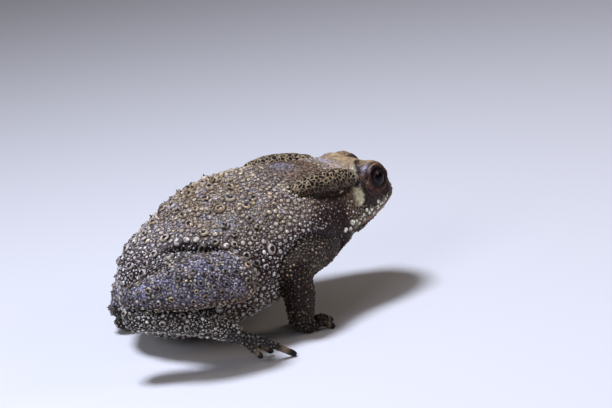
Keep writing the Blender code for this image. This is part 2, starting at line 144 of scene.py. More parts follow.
UPPER_ARM = {
    "right": ((23.0, -15.0, 23.0, 6.0), (15.0, -22.5, 24.0, 5.4), (9.0, -26.0, 22.5, 4.7)),
    "left": ((24.0, 15.0, 23.0, 6.0), (16.0, 22.5, 24.0, 5.4), (10.0, 26.0, 22.5, 4.7)),
}
FOREARM = {
    "right": ((9.2, -26.2, 21.6, 4.6), (10.8, -24.5, 13.5, 4.6), (12.0, -21.0, 4.6, 3.5)),
    "left": ((10.2, 26.2, 21.6, 4.6), (11.8, 24.5, 13.5, 4.6), (13.0, 21.0, 4.6, 3.5)),
}
PALM = {"right": (13.4, -20.5, 2.4), "left": (14.4, 20.5, 2.4)}
PALM_RADII = (4.6, 4.2, 2.8)
# Fingers: root and tip as x, y from the palm, y outward; half thickness at the root
FINGERS = (
    ((0.5, -1.6), (-0.6, -8.4), 1.6),
    ((2.0, -1.4), (5.6, -7.4), 1.55),
    ((2.6, 0.2), (9.4, -2.4), 1.6),
    ((1.8, 1.8), (7.2, 3.2), 1.5),
)
# Toes from the end of the tarsus, y outward, with the height of the tip
TOES = {
    "right": (
        ((-3.4, -1.7), (2.0, -6.6, 7.0), 1.25),
        ((-2.4, -1.5), (7.0, -6.8, 4.4), 1.3),
        ((-1.0, -0.9), (12.6, -4.4, 1.6), 1.4),
        ((0.0, 0.2), (17.4, 0.8, 0.9), 1.4),
        ((-1.2, 1.2), (6.8, 1.6, 3.2), 1.3),
    ),
    "left": (
        ((-4.0, -1.7), (0.0, -8.0, 0.9), 1.25),
        ((-2.8, -1.5), (5.6, -8.4, 0.9), 1.3),
        ((-1.2, -0.9), (11.6, -6.2, 0.9), 1.4),
        ((0.0, 0.2), (16.6, -2.2, 0.9), 1.4),
        ((-1.0, 1.4), (4.2, 3.4, 0.9), 1.3),
    ),
}
# Heights of the fingers' roots and tips
ROOT_HEIGHT = 2.6
TIP_HEIGHT = 0.9
# How far the toes' roots lie under the bone's line, the level length of the foot's last part, and half the
# thickness of the web between the toes
TOE_DROP = 0.6
SOLE_LENGTH = 9.5
WEB_HALF = 0.42
# Rings along each form and points round each ring
BODY_RINGS, BODY_POINTS = 110, 80
LIMB_RINGS, LIMB_POINTS, GLAND_POINTS = 26, 28, 24
DIGIT_RINGS, DIGIT_POINTS = 14, 12
# Angles of the rings that round off a limb's ends, in degrees, and how much taller than wide the shank is
CAP_ANGLES = (80, 65, 50, 35, 20)
SHANK_TALL = 1.18
FLESH = ["trunk", "head", "lower_jaw"] + [
    f"{name}_{side}"
    for name in ("parotoid", "tympanum", "upper_arm", "forearm", "hand", "thigh", "shank", "foot")
    for side in SIDES
]

LOW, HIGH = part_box("eye_left")
ORIGIN = (Vector(LOW) + Vector(HIGH)) / 2 - EYE * MM


def smooth(knots, count):
    """Evenly stepped rows along the Catmull-Rom curve through the knots."""
    rows = np.array(knots, float)
    padded = np.vstack([2 * rows[0] - rows[1], rows, 2 * rows[-1] - rows[-2]])
    out = []
    for place in np.linspace(0, len(rows) - 1, count):
        i = min(int(place), len(rows) - 2)
        t = place - i
        a, b, c, d = padded[i : i + 4]
        out.append(b + 0.5 * t * (c - a + t * (2 * a - 5 * b + 4 * c - d + t * (3 * (b - c) + d - a))))
    return out


def oval(centre, side, rise, half_width, up, down, count, square_up=2.1, square_down=2.1):
    """A squared oval round the centre, half_width along side, up and down along rise."""
    points = []
    for i in range(count):
        angle = 2 * math.pi * i / count
        c, s = math.cos(angle), math.sin(angle)
        square = square_up if s > 0 else square_down
        across = half_width * math.copysign(abs(c) ** (2 / square), c)
        tall = (up if s > 0 else down) * math.copysign(abs(s) ** (2 / square), s)
        points.append(centre + side * across + rise * tall)
    return points


def tube_rings(knots, rings, segments, tall=1.0):
    """Rings square to a smooth line of x, y, z and half thickness, with round ends."""
    rows = smooth(knots, rings)
    centres = [Vector(row[:3]) for row in rows]
    caps = [(math.sin(math.radians(a)), math.cos(math.radians(a))) for a in CAP_ANGLES]
    made = []
    for i, (centre, row) in enumerate(zip(centres, rows)):
        along = (centres[min(i + 1, rings - 1)] - centres[max(i - 1, 0)]).normalized()
        side = along.cross(Vector((0, 0, 1))).normalized()
        rise = side.cross(along)
        parts = [(0, 1)]
        sign = 0
        if i == 0:
            parts, sign = caps + parts, -1
        elif i == rings - 1:
            parts, sign = parts + caps[::-1], 1
        for reach, shrink in parts:
            width, height = row[3] * shrink / math.sqrt(tall), row[3] * shrink * math.sqrt(tall)
            at = centre + along * (sign * reach * row[3])
            made.append(oval(at, side, rise, width, height, height, segments))
    return made


def lofted(bm, rings):
    """Adds a closed solid through rings of like points, made by drawing out the first ring."""
    ring = bmesh.ops.create_circle(bm, segments=len(rings[0]), radius=1)["verts"]
    for number, points in enumerate(rings):
        edges = [bm.edges.get(pair) for pair in zip(ring, ring[1:] + ring[:1])]
        if number:
            made = bmesh.ops.extrude_edge_only(bm, edges=edges)["geom"]
            new = {v for v in made if isinstance(v, bmesh.types.BMVert)}
            ring = [next(e.other_vert(v) for e in v.link_edges if e.other_vert(v) in new) for v in ring]
            edges = [bm.edges.get(pair) for pair in zip(ring, ring[1:] + ring[:1])]
        for vert, point in zip(ring, points):
            vert.co = point
        if number in (0, len(rings) - 1):
            bmesh.ops.contextual_create(bm, geom=edges)


def add_ball(bm, centre, radii):
    """Adds a ball, stretched to the three radii."""
    made = bmesh.ops.create_uvsphere(bm, u_segments=32, v_segments=16, radius=1)["verts"]
    matrix = Matrix.Translation(centre) @ Matrix.Diagonal((*radii, 1))
    bmesh.ops.transform(bm, matrix=matrix, verts=made)


def digits():
    """Each finger and toe as side, root, tip and half thickness at the root."""
    for side, sign in SIDES.items():
        palm = Vector(PALM[side])
        for root, tip, thick in FINGERS:
            start = Vector((palm.x + root[0], palm.y + root[1] * sign, ROOT_HEIGHT))
            yield side, start, Vector((palm.x + tip[0], palm.y + tip[1] * sign, TIP_HEIGHT)), thick
        end = Vector(TARSUS[side][-1][:3])
        slope = (TARSUS[side][-2][2] - end.z) / SOLE_LENGTH
        for root, tip, thick in TOES[side]:
            height = end.z - TOE_DROP - root[0] * slope
            start = Vector((end.x + root[0], end.y + root[1] * sign, height))
            yield side, start, Vector((end.x + tip[0], end.y + tip[1] * sign, tip[2])), thick


def mirrored(point, side):
    """A point of the left side, moved to that side."""
    return Vector((point[0], point[1] * SIDES[side], point[2]))


def mirrored_row(row, side):
    """A row of x, y, z and thickness, moved to that side."""
    return (row[0], row[1] * SIDES[side], *row[2:])


def rough_forms():
    """Every muscle and bone form as closed shells in one bmesh, still overlapping."""
    bm = bmesh.new()
    across, rise = Vector((0, 1, 0)), Vector((0, 0, 1))
    rings = []
    for x, top, bottom, half_width, level, *squares in smooth(BODY, BODY_RINGS):
        middle = Vector((x, 0, level))
        up, down = top - level, level - bottom
        rings.append(oval(middle, across, rise, half_width, up, down, BODY_POINTS, *squares))
    lofted(bm, rings)
    for side in SIDES:
        for knots in (THIGH[side], UPPER_ARM[side], FOREARM[side], TARSUS[side]):
            lofted(bm, tube_rings(knots, LIMB_RINGS, LIMB_POINTS))
        lofted(bm, tube_rings(SHANK[side], LIMB_RINGS, LIMB_POINTS, SHANK_TALL))
        lofted(bm, tube_rings([mirrored_row(row, side) for row in PAROTOID], LIMB_RINGS, GLAND_POINTS))
        add_ball(bm, Vector(PALM[side]), PALM_RADII)
        add_ball(bm, mirrored(EYE, side), (LID_RADIUS, LID_RADIUS, LID_RADIUS - 0.6))
    for _, root, tip, thick in digits():
        middle = (root + tip) / 2 + Vector((0, 0, 0.8))
        knots = ((*root, thick), (*middle, thick * 0.85), (*tip, thick * 0.72))
        lofted(bm, tube_rings(knots, DIGIT_RINGS, DIGIT_POINTS))
    half = Vector((0, 0, WEB_HALF))
    for side in SIDES:
        toes = [(root, tip) for s, root, tip, _ in digits() if s == side][len(FINGERS) :]
        for (a, b), (c, d) in zip(toes, toes[1:]):
            ring = [a, a.lerp(b, 0.5), b.lerp(d, 0.5).lerp(a, 0.42), c.lerp(d, 0.5), c]
            lofted(bm, [[p - half for p in ring], [p + half for p in ring]])
    bmesh.ops.recalc_face_normals(bm, faces=bm.faces)
    return bm


def link_object(name, data):
    """A new object in the scene for the mesh, lamp or camera."""
    obj = bpy.data.objects.new(name, data)
    bpy.context.scene.collection.objects.link(obj)
    return obj


def from_bmesh(name, bm):
    """A new object from the bmesh, which is freed."""
    mesh = bpy.data.meshes.new(name)
    bm.to_mesh(mesh)
    bm.free()
    return link_object(name, mesh)


def apply_modifiers(obj):
    """Makes the object's modifiers part of its mesh."""
    graph = bpy.context.evaluated_depsgraph_get()
    old = obj.data
    obj.data = bpy.data.meshes.new_from_object(obj.evaluated_get(graph))
    obj.modifiers.clear()
    bpy.data.meshes.remove(old)


def vertex_rows(mesh, key):
    """The mesh's points or normals as an array of rows."""
    flat = np.empty(len(mesh.vertices) * 3)
    mesh.vertices.foreach_get(key, flat)
    return flat.reshape(-1, 3)


class Clay:
    """A mesh's points and normals as arrays in millimetres, for shaping by distance."""

    def __init__(self, mesh):
        self.mesh = mesh
        self.points = vertex_rows(mesh, "co")
        self.normals = vertex_rows(mesh, "normal")
        edges = np.empty(len(mesh.edges) * 2, int)
        mesh.edges.foreach_get("vertices", edges)
        self.edges = edges.reshape(-1, 2)

    def write(self):
        """Sets the mesh to these points and reads its normals again."""
        self.mesh.vertices.foreach_set("co", self.points.ravel())
        self.mesh.update()
        self.normals = vertex_rows(self.mesh, "normal")

    def relax(self, times, factor, where=None):
        """Moves each point towards the middle of its neighbours."""
        a, b = self.edges.T
        count = len(self.points)
        degree = np.maximum(np.bincount(a, minlength=count) + np.bincount(b, minlength=count), 1)[:, None]
        factor = factor if where is None else factor * where[:, None]
        for _ in range(times):
            total = np.empty_like(self.points)
            for axis in range(3):
                values = self.points[:, axis]
                total[:, axis] = np.bincount(a, values[b], count) + np.bincount(b, values[a], count)
            self.points += factor * (total / degree - self.points)

    def push(self, amount):
        """Moves each point out along its normal."""
        self.points += self.normals * amount[:, None]


def step(low, high, values):
    """A smooth rise from 0 to 1 between low and high.

    Where the values are x, y or z, low and high are places on the toad in its own millimetres.
    """
    t = np.clip((values - low) / (high - low), 0, 1)
    return t * t * (3 - 2 * t)


def bell(distance, width):
    """A smooth hump, 1 where the distance is 0."""
    return np.exp(-((distance / width) ** 2))


def line_distance(points, line):
    """Distance from each point to a run of straight lengths, and the share of the run up to there."""
    best = np.full(len(points), 1e9)
    along = np.zeros(len(points))
    line = np.array([tuple(p)[:3] for p in line], float)
    for i, (a, b) in enumerate(zip(line[:-1], line[1:])):
        span = b - a
        t = np.clip((points - a) @ span / (span @ span), 0, 1)
        distance = np.linalg.norm(points - a - t[:, None] * span, axis=1)
        nearer = distance < best
        best[nearer] = distance[nearer]
        along[nearer] = ((i + t) / (len(line) - 1))[nearer]
    return best, along


def limb_distance(points, knots):
    """Distance from the middle line of the limb along the knots, about 1 at its skin."""
    rows = smooth(knots, 12)
    distance, along = line_distance(points, [row[:3] for row in rows])
    return distance / np.interp(along, np.linspace(0, 1, len(rows)), [row[3] for row in rows])


def limb_share(points, knots, reach=1.0):
    """About 1 on the limb along the knots and 0 away from it."""
    return 1 - step(1.05 * reach, 1.35 * reach, limb_distance(points, knots))


def folded(points):
    """Where the skin folds in round the limbs, rises beside the fold over the thigh, and lies in shade."""
    fold, ridge, shade = np.zeros((3, len(points)))
    for side, sign in SIDES.items():
        here = step(9, 13, points[:, 1] * sign)
        hind = np.minimum(limb_distance(points, THIGH[side]), limb_distance(points, SHANK[side]))
        tarsus = limb_distance(points, TARSUS[side])
        arm = np.minimum(limb_distance(points, UPPER_ARM[side]), limb_distance(points, FOREARM[side]))
        over = here * step(9, 13, points[:, 2]) * step(1.1, 1.4, tarsus)
        fold = np.maximum(fold, over * bell(hind - 1.18, 0.11))
        ridge = np.maximum(ridge, over * bell(hind - 1.45, 0.15))
        fold = np.maximum(fold, here * bell(hind - tarsus, 0.13) * (1 - step(1.4, 1.7, hind)))
        fold = np.maximum(fold, 0.6 * here * bell(arm - 1.28, 0.13))
        shade = np.maximum(shade, here * (1 - step(1.12, 1.45, hind)))
        shade = np.maximum(shade, 0.8 * here * (1 - step(1.15, 1.6, arm)))
    return fold, ridge, shade


def snapped(tree, line, side):
    """The line's points, moved onto the skin on that side."""
    return [tree.find_nearest(mirrored(point, side))[0] for point in smooth_points(line, 4)]


def smooth_points(line, each):
    """Points along the smooth curve through the line, so many to each of its lengths."""
    return [Vector(row[:3]) for row in smooth(line, (len(line) - 1) * each + 1)]


def ripple(points, scale, octaves, seed):
    """Smooth noise at each point, about -1 to 1, with lumps about scale millimetres across."""
    shift = Vector((seed * 7.3, seed * 3.1, seed * 5.7))
    return np.array([noise.fractal(Vector(p) / scale + shift, 1.0, 2.0, octaves) for p in points])


def spot_distance(points, spot, side):
    """Distance from the spot, moved to that side."""
    return np.linalg.norm(points - np.array(mirrored(spot, side)), axis=1)


def mouth_height(points):
    """Height above the mouth's plane."""
    up = (MOUTH_FRONT - MOUTH_BACK).cross(Vector((0, 1, 0))).normalized()
    return (points - np.array(MOUTH_BACK)) @ np.array(up)


def eye_frame(side):
    """The eye's middle, the way it looks, and its level and upright directions."""
    gaze = np.array(mirrored(GAZE, side))
    level = np.cross(gaze, (0, 0, 1.0))
    level /= np.linalg.norm(level)
    return np.array(mirrored(EYE, side)), gaze, level, np.cross(level, gaze)


def shape_head(clay):
    """Crests, lids, eardrums, nostrils and mouth."""
    points = clay.points
    x, y, z = points.T
    faces = [tuple(f.vertices) for f in clay.mesh.polygons]
    tree = BVHTree.FromPolygons([Vector(p) for p in points], faces)
    push = -0.9 * bell(np.hypot((x - 41.0) / 4.5, y / 4.6), 1.0) * step(38, 42, z)
    fold = x - 38.6 + 0.3 * (z - 20.0)
    low = (1 - step(22, 27, z)) * step(28, 32, x)
    push += (0.8 * bell(fold - 3.0, 1.4) - 2.2 * bell(fold, 1.5)) * low
    for side in SIDES:
        crest, along = line_distance(points, snapped(tree, CREST, side))
        tall = (0.6 + 0.45 * bell(along - 0.5, 0.13)) * (1 - 0.6 * step(0.75, 0.85, along))
        push += tall * bell(crest, 0.55) - 0.25 * bell(crest - 1.5, 0.6)
        gland = gland_distance(points, side)
        push += 0.5 * (1 - step(0.6, 1.05, gland)) - 0.7 * bell(gland - 1.28, 0.16)
    height = mouth_height(points)
    lips = 0.34 * bell(height - 0.95, 0.62) + 0.22 * bell(height + 0.9, 0.6)
    push += step(33.0, 36.5, x) * (lips - 0.75 * bell(height, 0.26))
    for side in SIDES:
        spot = tree.find_nearest(mirrored(NOSTRIL, side))[0]
        distance = np.linalg.norm((points - np.array(spot)) * (1, 1, 1.4), axis=1)
        push += 0.3 * bell(distance - 1.2, 0.5) - 1.2 * bell(distance, 0.7)
        q, front = drum_distance(points, side)
        push += (0.28 * bell(q - 1.08, 0.14) - 0.45 * (1 - step(0.75, 1.0, q))) * front
    clay.push(push)
    clay.write()
    for side in SIDES:
        shape_lids(clay, side)
    clay.write()


def gland_distance(points, side):
    """Distance from the line of the gland behind the eye, about 1 at its edge."""
    return limb_distance(points, [mirrored_row(row, side) for row in PAROTOID])


def drum_distance(points, side):
    """Distance from the eardrum's middle, 1 at its rim, and whether the point is on that side."""
    offset = points - np.array(mirrored(TYMPANUM, side))
    q = np.hypot(offset[:, 0] / TYMPANUM_SIZE[0], offset[:, 2] / TYMPANUM_SIZE[1])
    return q, (np.abs(offset[:, 1]) < 4).astype(float)


def lid_distance(points, side):
    """Distance from the middle of the lids' opening, 1 at its edge, then the point's distance from the eye,
    its way from there, and how far that is the way the eye looks.
    """
    centre, gaze, level, upright = eye_frame(side)
    offset = points - centre
    radius = np.linalg.norm(offset, axis=1)
    way = offset / np.maximum(radius, 1e-6)[:, None]
    tall = way @ upright
    wide, above, beneath = OPENING
    q = np.hypot(way @ level / wide, tall / np.where(tall > 0, above, beneath))
    return np.where(way @ gaze > 0, q, 9), radius, way, way @ gaze


def shape_lids(clay, side):
    """Opens the lids over the eye and folds the skin round them."""
    q, radius, way, facing = lid_distance(clay.points, side)
    folds = sum(size * bell(q - place, 0.07) for place, size in LID_FOLDS)
    folds -= sum(0.7 * size * bell(q - place - 0.15, 0.05) for place, size in LID_FOLDS)
    rim = LID_RISE + folds - 0.3 * step(1.1, 1.9, q)
    inside = SOCKET_RADIUS + (rim - SOCKET_RADIUS) * step(0.8, 1.06, q)
    goal = np.where(q < 1.06, inside, rim)
    weight = (radius < LIDS_END) * (1 - step(1.8, 2.3, q)) * step(-0.05, 0.4, facing)
    clay.points += way * ((goal - radius) * weight)[:, None]


class Skin:
    """What the colours and the warts need to know about each place on the skin, as shares from 0 to 1."""

    def __init__(self, points, normals):
        self.points = points
        self.normals = normals
        x, y, z = points.T
        for side in SIDES:
            gland = gland_distance(points, side)
            palm = np.linalg.norm(points - np.array(PALM[side]), axis=1)
            knee = np.array(SHANK[side][0][:3]) + (4.5, 0, -1)
            self.widen(
                hind=limb_share(points, THIGH[side]) * step(12, 20, np.abs(y)),
                knee=bell(np.linalg.norm(points - knee, axis=1), 6.5),
                fore=limb_share(points, FOREARM[side]),
                hand=1 - step(11, 14, palm),
                foot=limb_share(points, TARSUS[side]),
                gland=1 - step(1.12, 1.26, gland),
                shade=bell(gland - 1.5, 0.5) * (1 - step(40.5, 43, z)) * step(17, 24, x),
            )
            self.widen(
                hind=limb_share(points, SHANK[side], 0.94),
                fore=0.8 * limb_share(points, UPPER_ARM[side], 0.95),
                foot=1 - step(5, 7, palm),
            )
        for _, root, tip, _ in digits():
            distance, along = line_distance(points, (root, tip))
            near = 1 - step(1.7, 2.4, distance)
            self.widen(
                foot=1 - step(1.8, 2.6, distance),
                tip=near * step(0.7, 0.8, along),
                nail=near * step(0.86, 0.94, along),
                digit=near,
            )
        self.hand *= self.foot
        self.heel = self.foot * step(5, 9, z)
        self.hind *= 1 - self.foot
        self.fore *= 1 - self.foot
        self.head = step(31.5, 37.5, x + 0.15 * (z - 30))
        self.crown = self.head * step(0.35, 0.85, normals[:, 2])
        self.crown *= 1 - step(11, 13, np.abs(y)) * (1 - step(40, 42, x))
        limbs = np.maximum.reduce([self.hind, self.fore, self.foot])
        self.trunk = (1 - limbs) * (1 - self.head) * (1 - self.gland)
        self.up = step(-0.1, 0.75, normals[:, 2])
        self.back = step(27, 41, z) * step(0.0, 0.65, normals[:, 2])
        self.below = step(0.1, 0.75, -normals[:, 2])
        for side, sign in SIDES.items():
            drum, front = drum_distance(points, side)
            rear = 0.1 + 0.9 * step(-0.9, 0.3, (x - TYMPANUM.x) / TYMPANUM_SIZE[0])
            crest, _ = line_distance(points, smooth_points([mirrored(p, side) for p in CREST], 4))
            faint = 1 - 0.6 * np.maximum(step(43, 44.5, z), step(44.5, 47, x))
            lid = lid_distance(points, side)[0]
            near = spot_distance(points, EYE, side) < 6.6
            between = sum(bell(lid - place - 0.15, 0.07) for place, _ in LID_FOLDS)
            self.widen(
                drum=(1 - step(0.84, 0.98, drum)) * front * self.head * rear,
                crest=faint * (1 - step(0.45, 1.05, crest)),
                lids=near * (1 - step(1.5, 2.0, lid)),
                # Creases between the lid folds and the inside of the opening, where shade is painted
                grooves=near * np.clip(1 - step(1.0, 1.08, lid) + between, 0, 1),
                # Inner sides of the limbs, facing the body, where shade is painted
                inner=limbs * (y * sign > 0) * step(0.15, 0.6, -normals[:, 1] * sign),
            )

    def widen(self, **shares):
        """Raises each named share to these values where they are larger."""
        for name, values in shares.items():
            setattr(self, name, np.maximum(getattr(self, name, 0), values))


def set_values(mesh, name, values):
    """Keeps one value for each point of the mesh under this name."""
    made = mesh.attributes.new(name, "FLOAT", "POINT")
    made.data.foreach_set("value", np.ascontiguousarray(values, dtype=np.float32))


def colour(code):
    """A linear colour from its sRGB hex code."""
    parts = [int(code[i : i + 2], 16) / 255 for i in (1, 3, 5)]
    linear = [c / 12.92 if c <= 0.04045 else ((c + 0.055) / 1.055) ** 2.4 for c in parts]
    return (*linear, 1.0)


def add_node(tree, kind, settings=None, links=None):
    """Adds a node, sets its properties or input values, and links its inputs."""
    node = tree.nodes.new(kind)
    for key, value in (settings or {}).items():
        if isinstance(key, str) and hasattr(node, key):
            setattr(node, key, value)
        else:
            node.inputs[key].default_value = value
    for key, output in (links or {}).items():
        tree.links.new(output, node.inputs[key])
    return node


def blended(weights):
    """Colours laid over one another: each row of weights is (values, colour), the lowest first."""
    (base, first), *others = weights
    made = np.ones((len(base), 1)) * np.array(first[:3])
    for values, code in others:
        made += values[:, None] * (np.array(code[:3]) - made)
    return made


def near_spot(points, spot, reach):
    """How near each point is to the spot on its own side, 1 there."""
    return sum(bell(spot_distance(points, spot, side), reach) for side in SIDES)


def ground_tint(skin, colours):
    """The skin's colour at each point, with painted shade and painted highlights in it, before the
    material's speckle and the painted shade of the hollows.
    """
    points = skin.points
    x, y, z = points.T
    facing_up = skin.normals[:, 2]
    # Clouds and flecks of colour, and the painted sky highlight on the crown
    mottle = 0.5 + 0.5 * np.clip(1.6 * ripple(points, 7.0, 2, 3), -1, 1)
    blue = np.clip(1.5 * ripple(points, 3.2, 2, 5), 0, 1)
    dusky = np.clip(0.2 + 2.2 * ripple(points, 6.0, 2, 12), 0, 1)
    olive = np.clip(2.2 * ripple(points, 9.0, 2, 15), 0, 1)
    crown_sheen = np.clip(0.8 * ripple(points * (1, 1, 0.4), 5.0, 2, 9), 0, 0.3) * (1 - step(39, 42, x))
    crown_sheen += 0.6 * bell(np.hypot((x - 35.6) / 3, (y - 1) / 5), 1)
    # Regions of trunk and limbs, with the painted shade near the floor and round the limbs
    nape = skin.trunk * step(10, 22, x) * step(0.45, 0.8, facing_up)
    nape *= 1 - step(13, 18, np.abs(y))
    nape_highlight = bell(np.hypot((x - 21) / 3, (y + 1) / 5), 1)
    flank = skin.trunk * (1 - skin.back)
    neck = flank * step(12, 24, x)
    chest = flank * step(8, 20, x) * (1 - step(16, 27, z))
    belly = skin.trunk * skin.below * (1 - step(2, 14, x))
    rump = skin.trunk * (1 - step(-24, -8, x)) * step(19, 27, z)
    low = 1 - step(1, 9, z)
    fold, _, shade = folded(points)
    shade *= skin.trunk * (1 - 0.6 * skin.back)
    # Regions of the head, with the painted highlight behind the eye
    highlight_behind_eye = near_spot(points, HIGHLIGHT_BEHIND_EYE, 1.9)
    brow = near_spot(points, BROW, 3.2)
    muzzle = near_spot(points, MUZZLE, 3.4)
    nostril = near_spot(points, NOSTRIL, 0.8)
    cheek = skin.head * (1 - skin.crown)
    under_eye = skin.head * step(39, 42, x)
    temple = skin.head * bell(np.hypot(x - 34.5, z - 34.0), 3.5)
    height = mouth_height(points)
    lip = skin.head * step(36, 40, x) * bell(height - 1.0, 0.85)
    mouth = skin.head * step(34, 37, x) * bell(height + 0.1, 0.35)
    band = skin.head * step(31, 34, x) * (1 - step(46, 52, x)) * (np.abs(y) > 6)
    above_band = height - 2.9 + 0.3 * step(40, 50, x) - 0.5 * np.sin(x * 1.7)
    band *= bell(above_band, 1.0) * step(-0.6, 0.0, ripple(points, 1.1, 2, 8))
    # The gland's front end, in broken patches
    broken = step(-0.45, 0.0, ripple(points, 1.0, 2, 6))
    patches = ripple(points, 1.3, 2, 6)
    outer = step(9.0, 10.5, np.abs(y))
    gland_front = broken * outer * bell(np.hypot((x - 38.6) / 1.7, (z - 42.0) / 2.1), 1)
    gland_dark = outer * bell(np.hypot((x - 38.9) / 1.1, (z - 40.0) / 1.2), 1)
    return blended(
        (
            (skin.trunk, colours.back),
            (mottle * 0.6 * skin.trunk, colours.back_pale),
            (0.35 * dusky * skin.trunk * skin.back, colours.dusk),
            (0.45 * olive * skin.trunk * skin.back, colours.nape),
            # On the back's top the bloom colour is partly a lavender bloom and partly a painted sky
            # highlight; on the rump it is the lavender bloom
            (blue * (0.7 - 0.5 * step(0, 12, x)) * skin.trunk * skin.back, colours.bloom_and_sky_sheen),
            (0.85 * rump * (0.35 + 0.65 * blue), colours.bloom_and_sky_sheen),
            (0.8 * nape, colours.nape),
            # Painted sky highlight on the top of the nape
            (0.6 * skin.trunk * nape_highlight * step(42, 45, z), colours.bloom_and_sky_sheen),
            (flank, colours.flank),
            (neck, colours.neck),
            (skin.shade * skin.trunk * 0.9, colours.neck),
            (chest, colours.chest),
            (belly * 0.8, colours.belly),
            (skin.hind, colours.leg),
            (skin.hind * mottle * 0.75, colours.leg_pale),
            (skin.hind * skin.below, colours.flank),
            (0.75 * skin.hind * skin.knee, colours.nape),
            # Painted shade low down, near the floor, in the chest's dark colour
            (0.75 * low * (skin.trunk + skin.hind), colours.chest),
            (skin.fore, colours.forearm),
            (skin.foot, colours.foot),
            (skin.hand * 0.8, colours.forearm),
            # Painted shade on the inner sides of the limbs, in the arms' dark colour
            (skin.inner * 0.85, colours.forearm),
            (skin.head, colours.crown),
            # Painted sky highlight on the top of the head
            (crown_sheen * skin.crown, colours.bloom_and_sky_sheen),
            (cheek, colours.cheek),
            (cheek * under_eye * 0.7, colours.under_eye),
            (cheek * temple * 0.6, colours.nape),
            (0.6 * skin.head * brow, colours.lid),
            (0.6 * skin.head * muzzle, colours.lip),
            (skin.head * (1 - step(-2.5, 0.5, height)), colours.neck),
            (band, colours.cream),
            (0.7 * skin.head * step(36, 40, x) * bell(height - 2.15, 0.4), colours.pit),
            (lip * (0.55 + 0.45 * mottle), colours.lip),
            # Painted shade in the mouth's crease
            (mouth, colours.pit),
            # Painted highlight on the skin behind the eye
            (0.75 * highlight_behind_eye * skin.head, colours.bloom_and_sky_sheen),
            (skin.crest * 0.95, colours.crest),
            # The lids' colour laid thinner where they face up, a painted light on their tops, and kept off
            # the painted highlight
            (skin.lids * (1 - 0.5 * step(0.3, 0.8, facing_up)) * (1 - 0.8 * highlight_behind_eye), colours.lid),
            # Painted shade: the creases of the lids and the inside of their opening, the nostrils' hollows,
            # and the folds round the limbs with the skin in their shade
            (skin.grooves * 0.85, colours.pit),
            (nostril * 0.9, colours.pit),
            (np.maximum(0.9 * fold, 0.75 * shade) * (1 - skin.head) * (1 - skin.gland), colours.pit),
            (skin.gland, colours.gland),
            # Painted shade on the gland's underside
            (0.75 * skin.gland * (1 - step(-0.3, 0.45, facing_up)), colours.cheek),
            (0.8 * skin.gland * step(37.0, 38.2, x) * step(-0.35, 0.1, patches), colours.eardrum),
            (0.85 * skin.gland * step(37.6, 38.6, x) * step(0.1, 0.35, patches), colours.cream),
            (0.9 * gland_front, colours.cream),
            (0.95 * gland_dark * step(0.2, 0.5, broken), colours.pit),
            (skin.drum, colours.eardrum),
            (skin.tip * (1 - skin.nail) * 0.3, colours.tan),
            (skin.nail * 0.95, colours.toe_tip),
        )
    )


def length(name, description, default, least):
    """A length for the panel, from millimetres."""
    return bpy.props.FloatProperty(
        name=name,
        description=description,
        default=default * MM,
        min=least * MM,
        unit="LENGTH",
    )


class TOAD_PG_sizes(bpy.types.PropertyGroup):
    """Sizes of the skin's mesh and of the small forms on it."""

    grain: length("Skin grain", "Edge of the skin's faces", 0.55, 0.3)
    wart: length("Ringed wart", "Half width of the largest ringed warts", 1.7, 0.5)
    granule: length("Granule", "Half width of the largest granules", 0.95, 0.3)


def tinted(name, description, code):
    """A colour for the panel, from its sRGB hex code."""
    return bpy.props.FloatVectorProperty(
        name=name,
        description=description,
        default=colour(code)[:3],
        size=3,
        min=0,
        max=1,
        subtype="COLOR",
    )


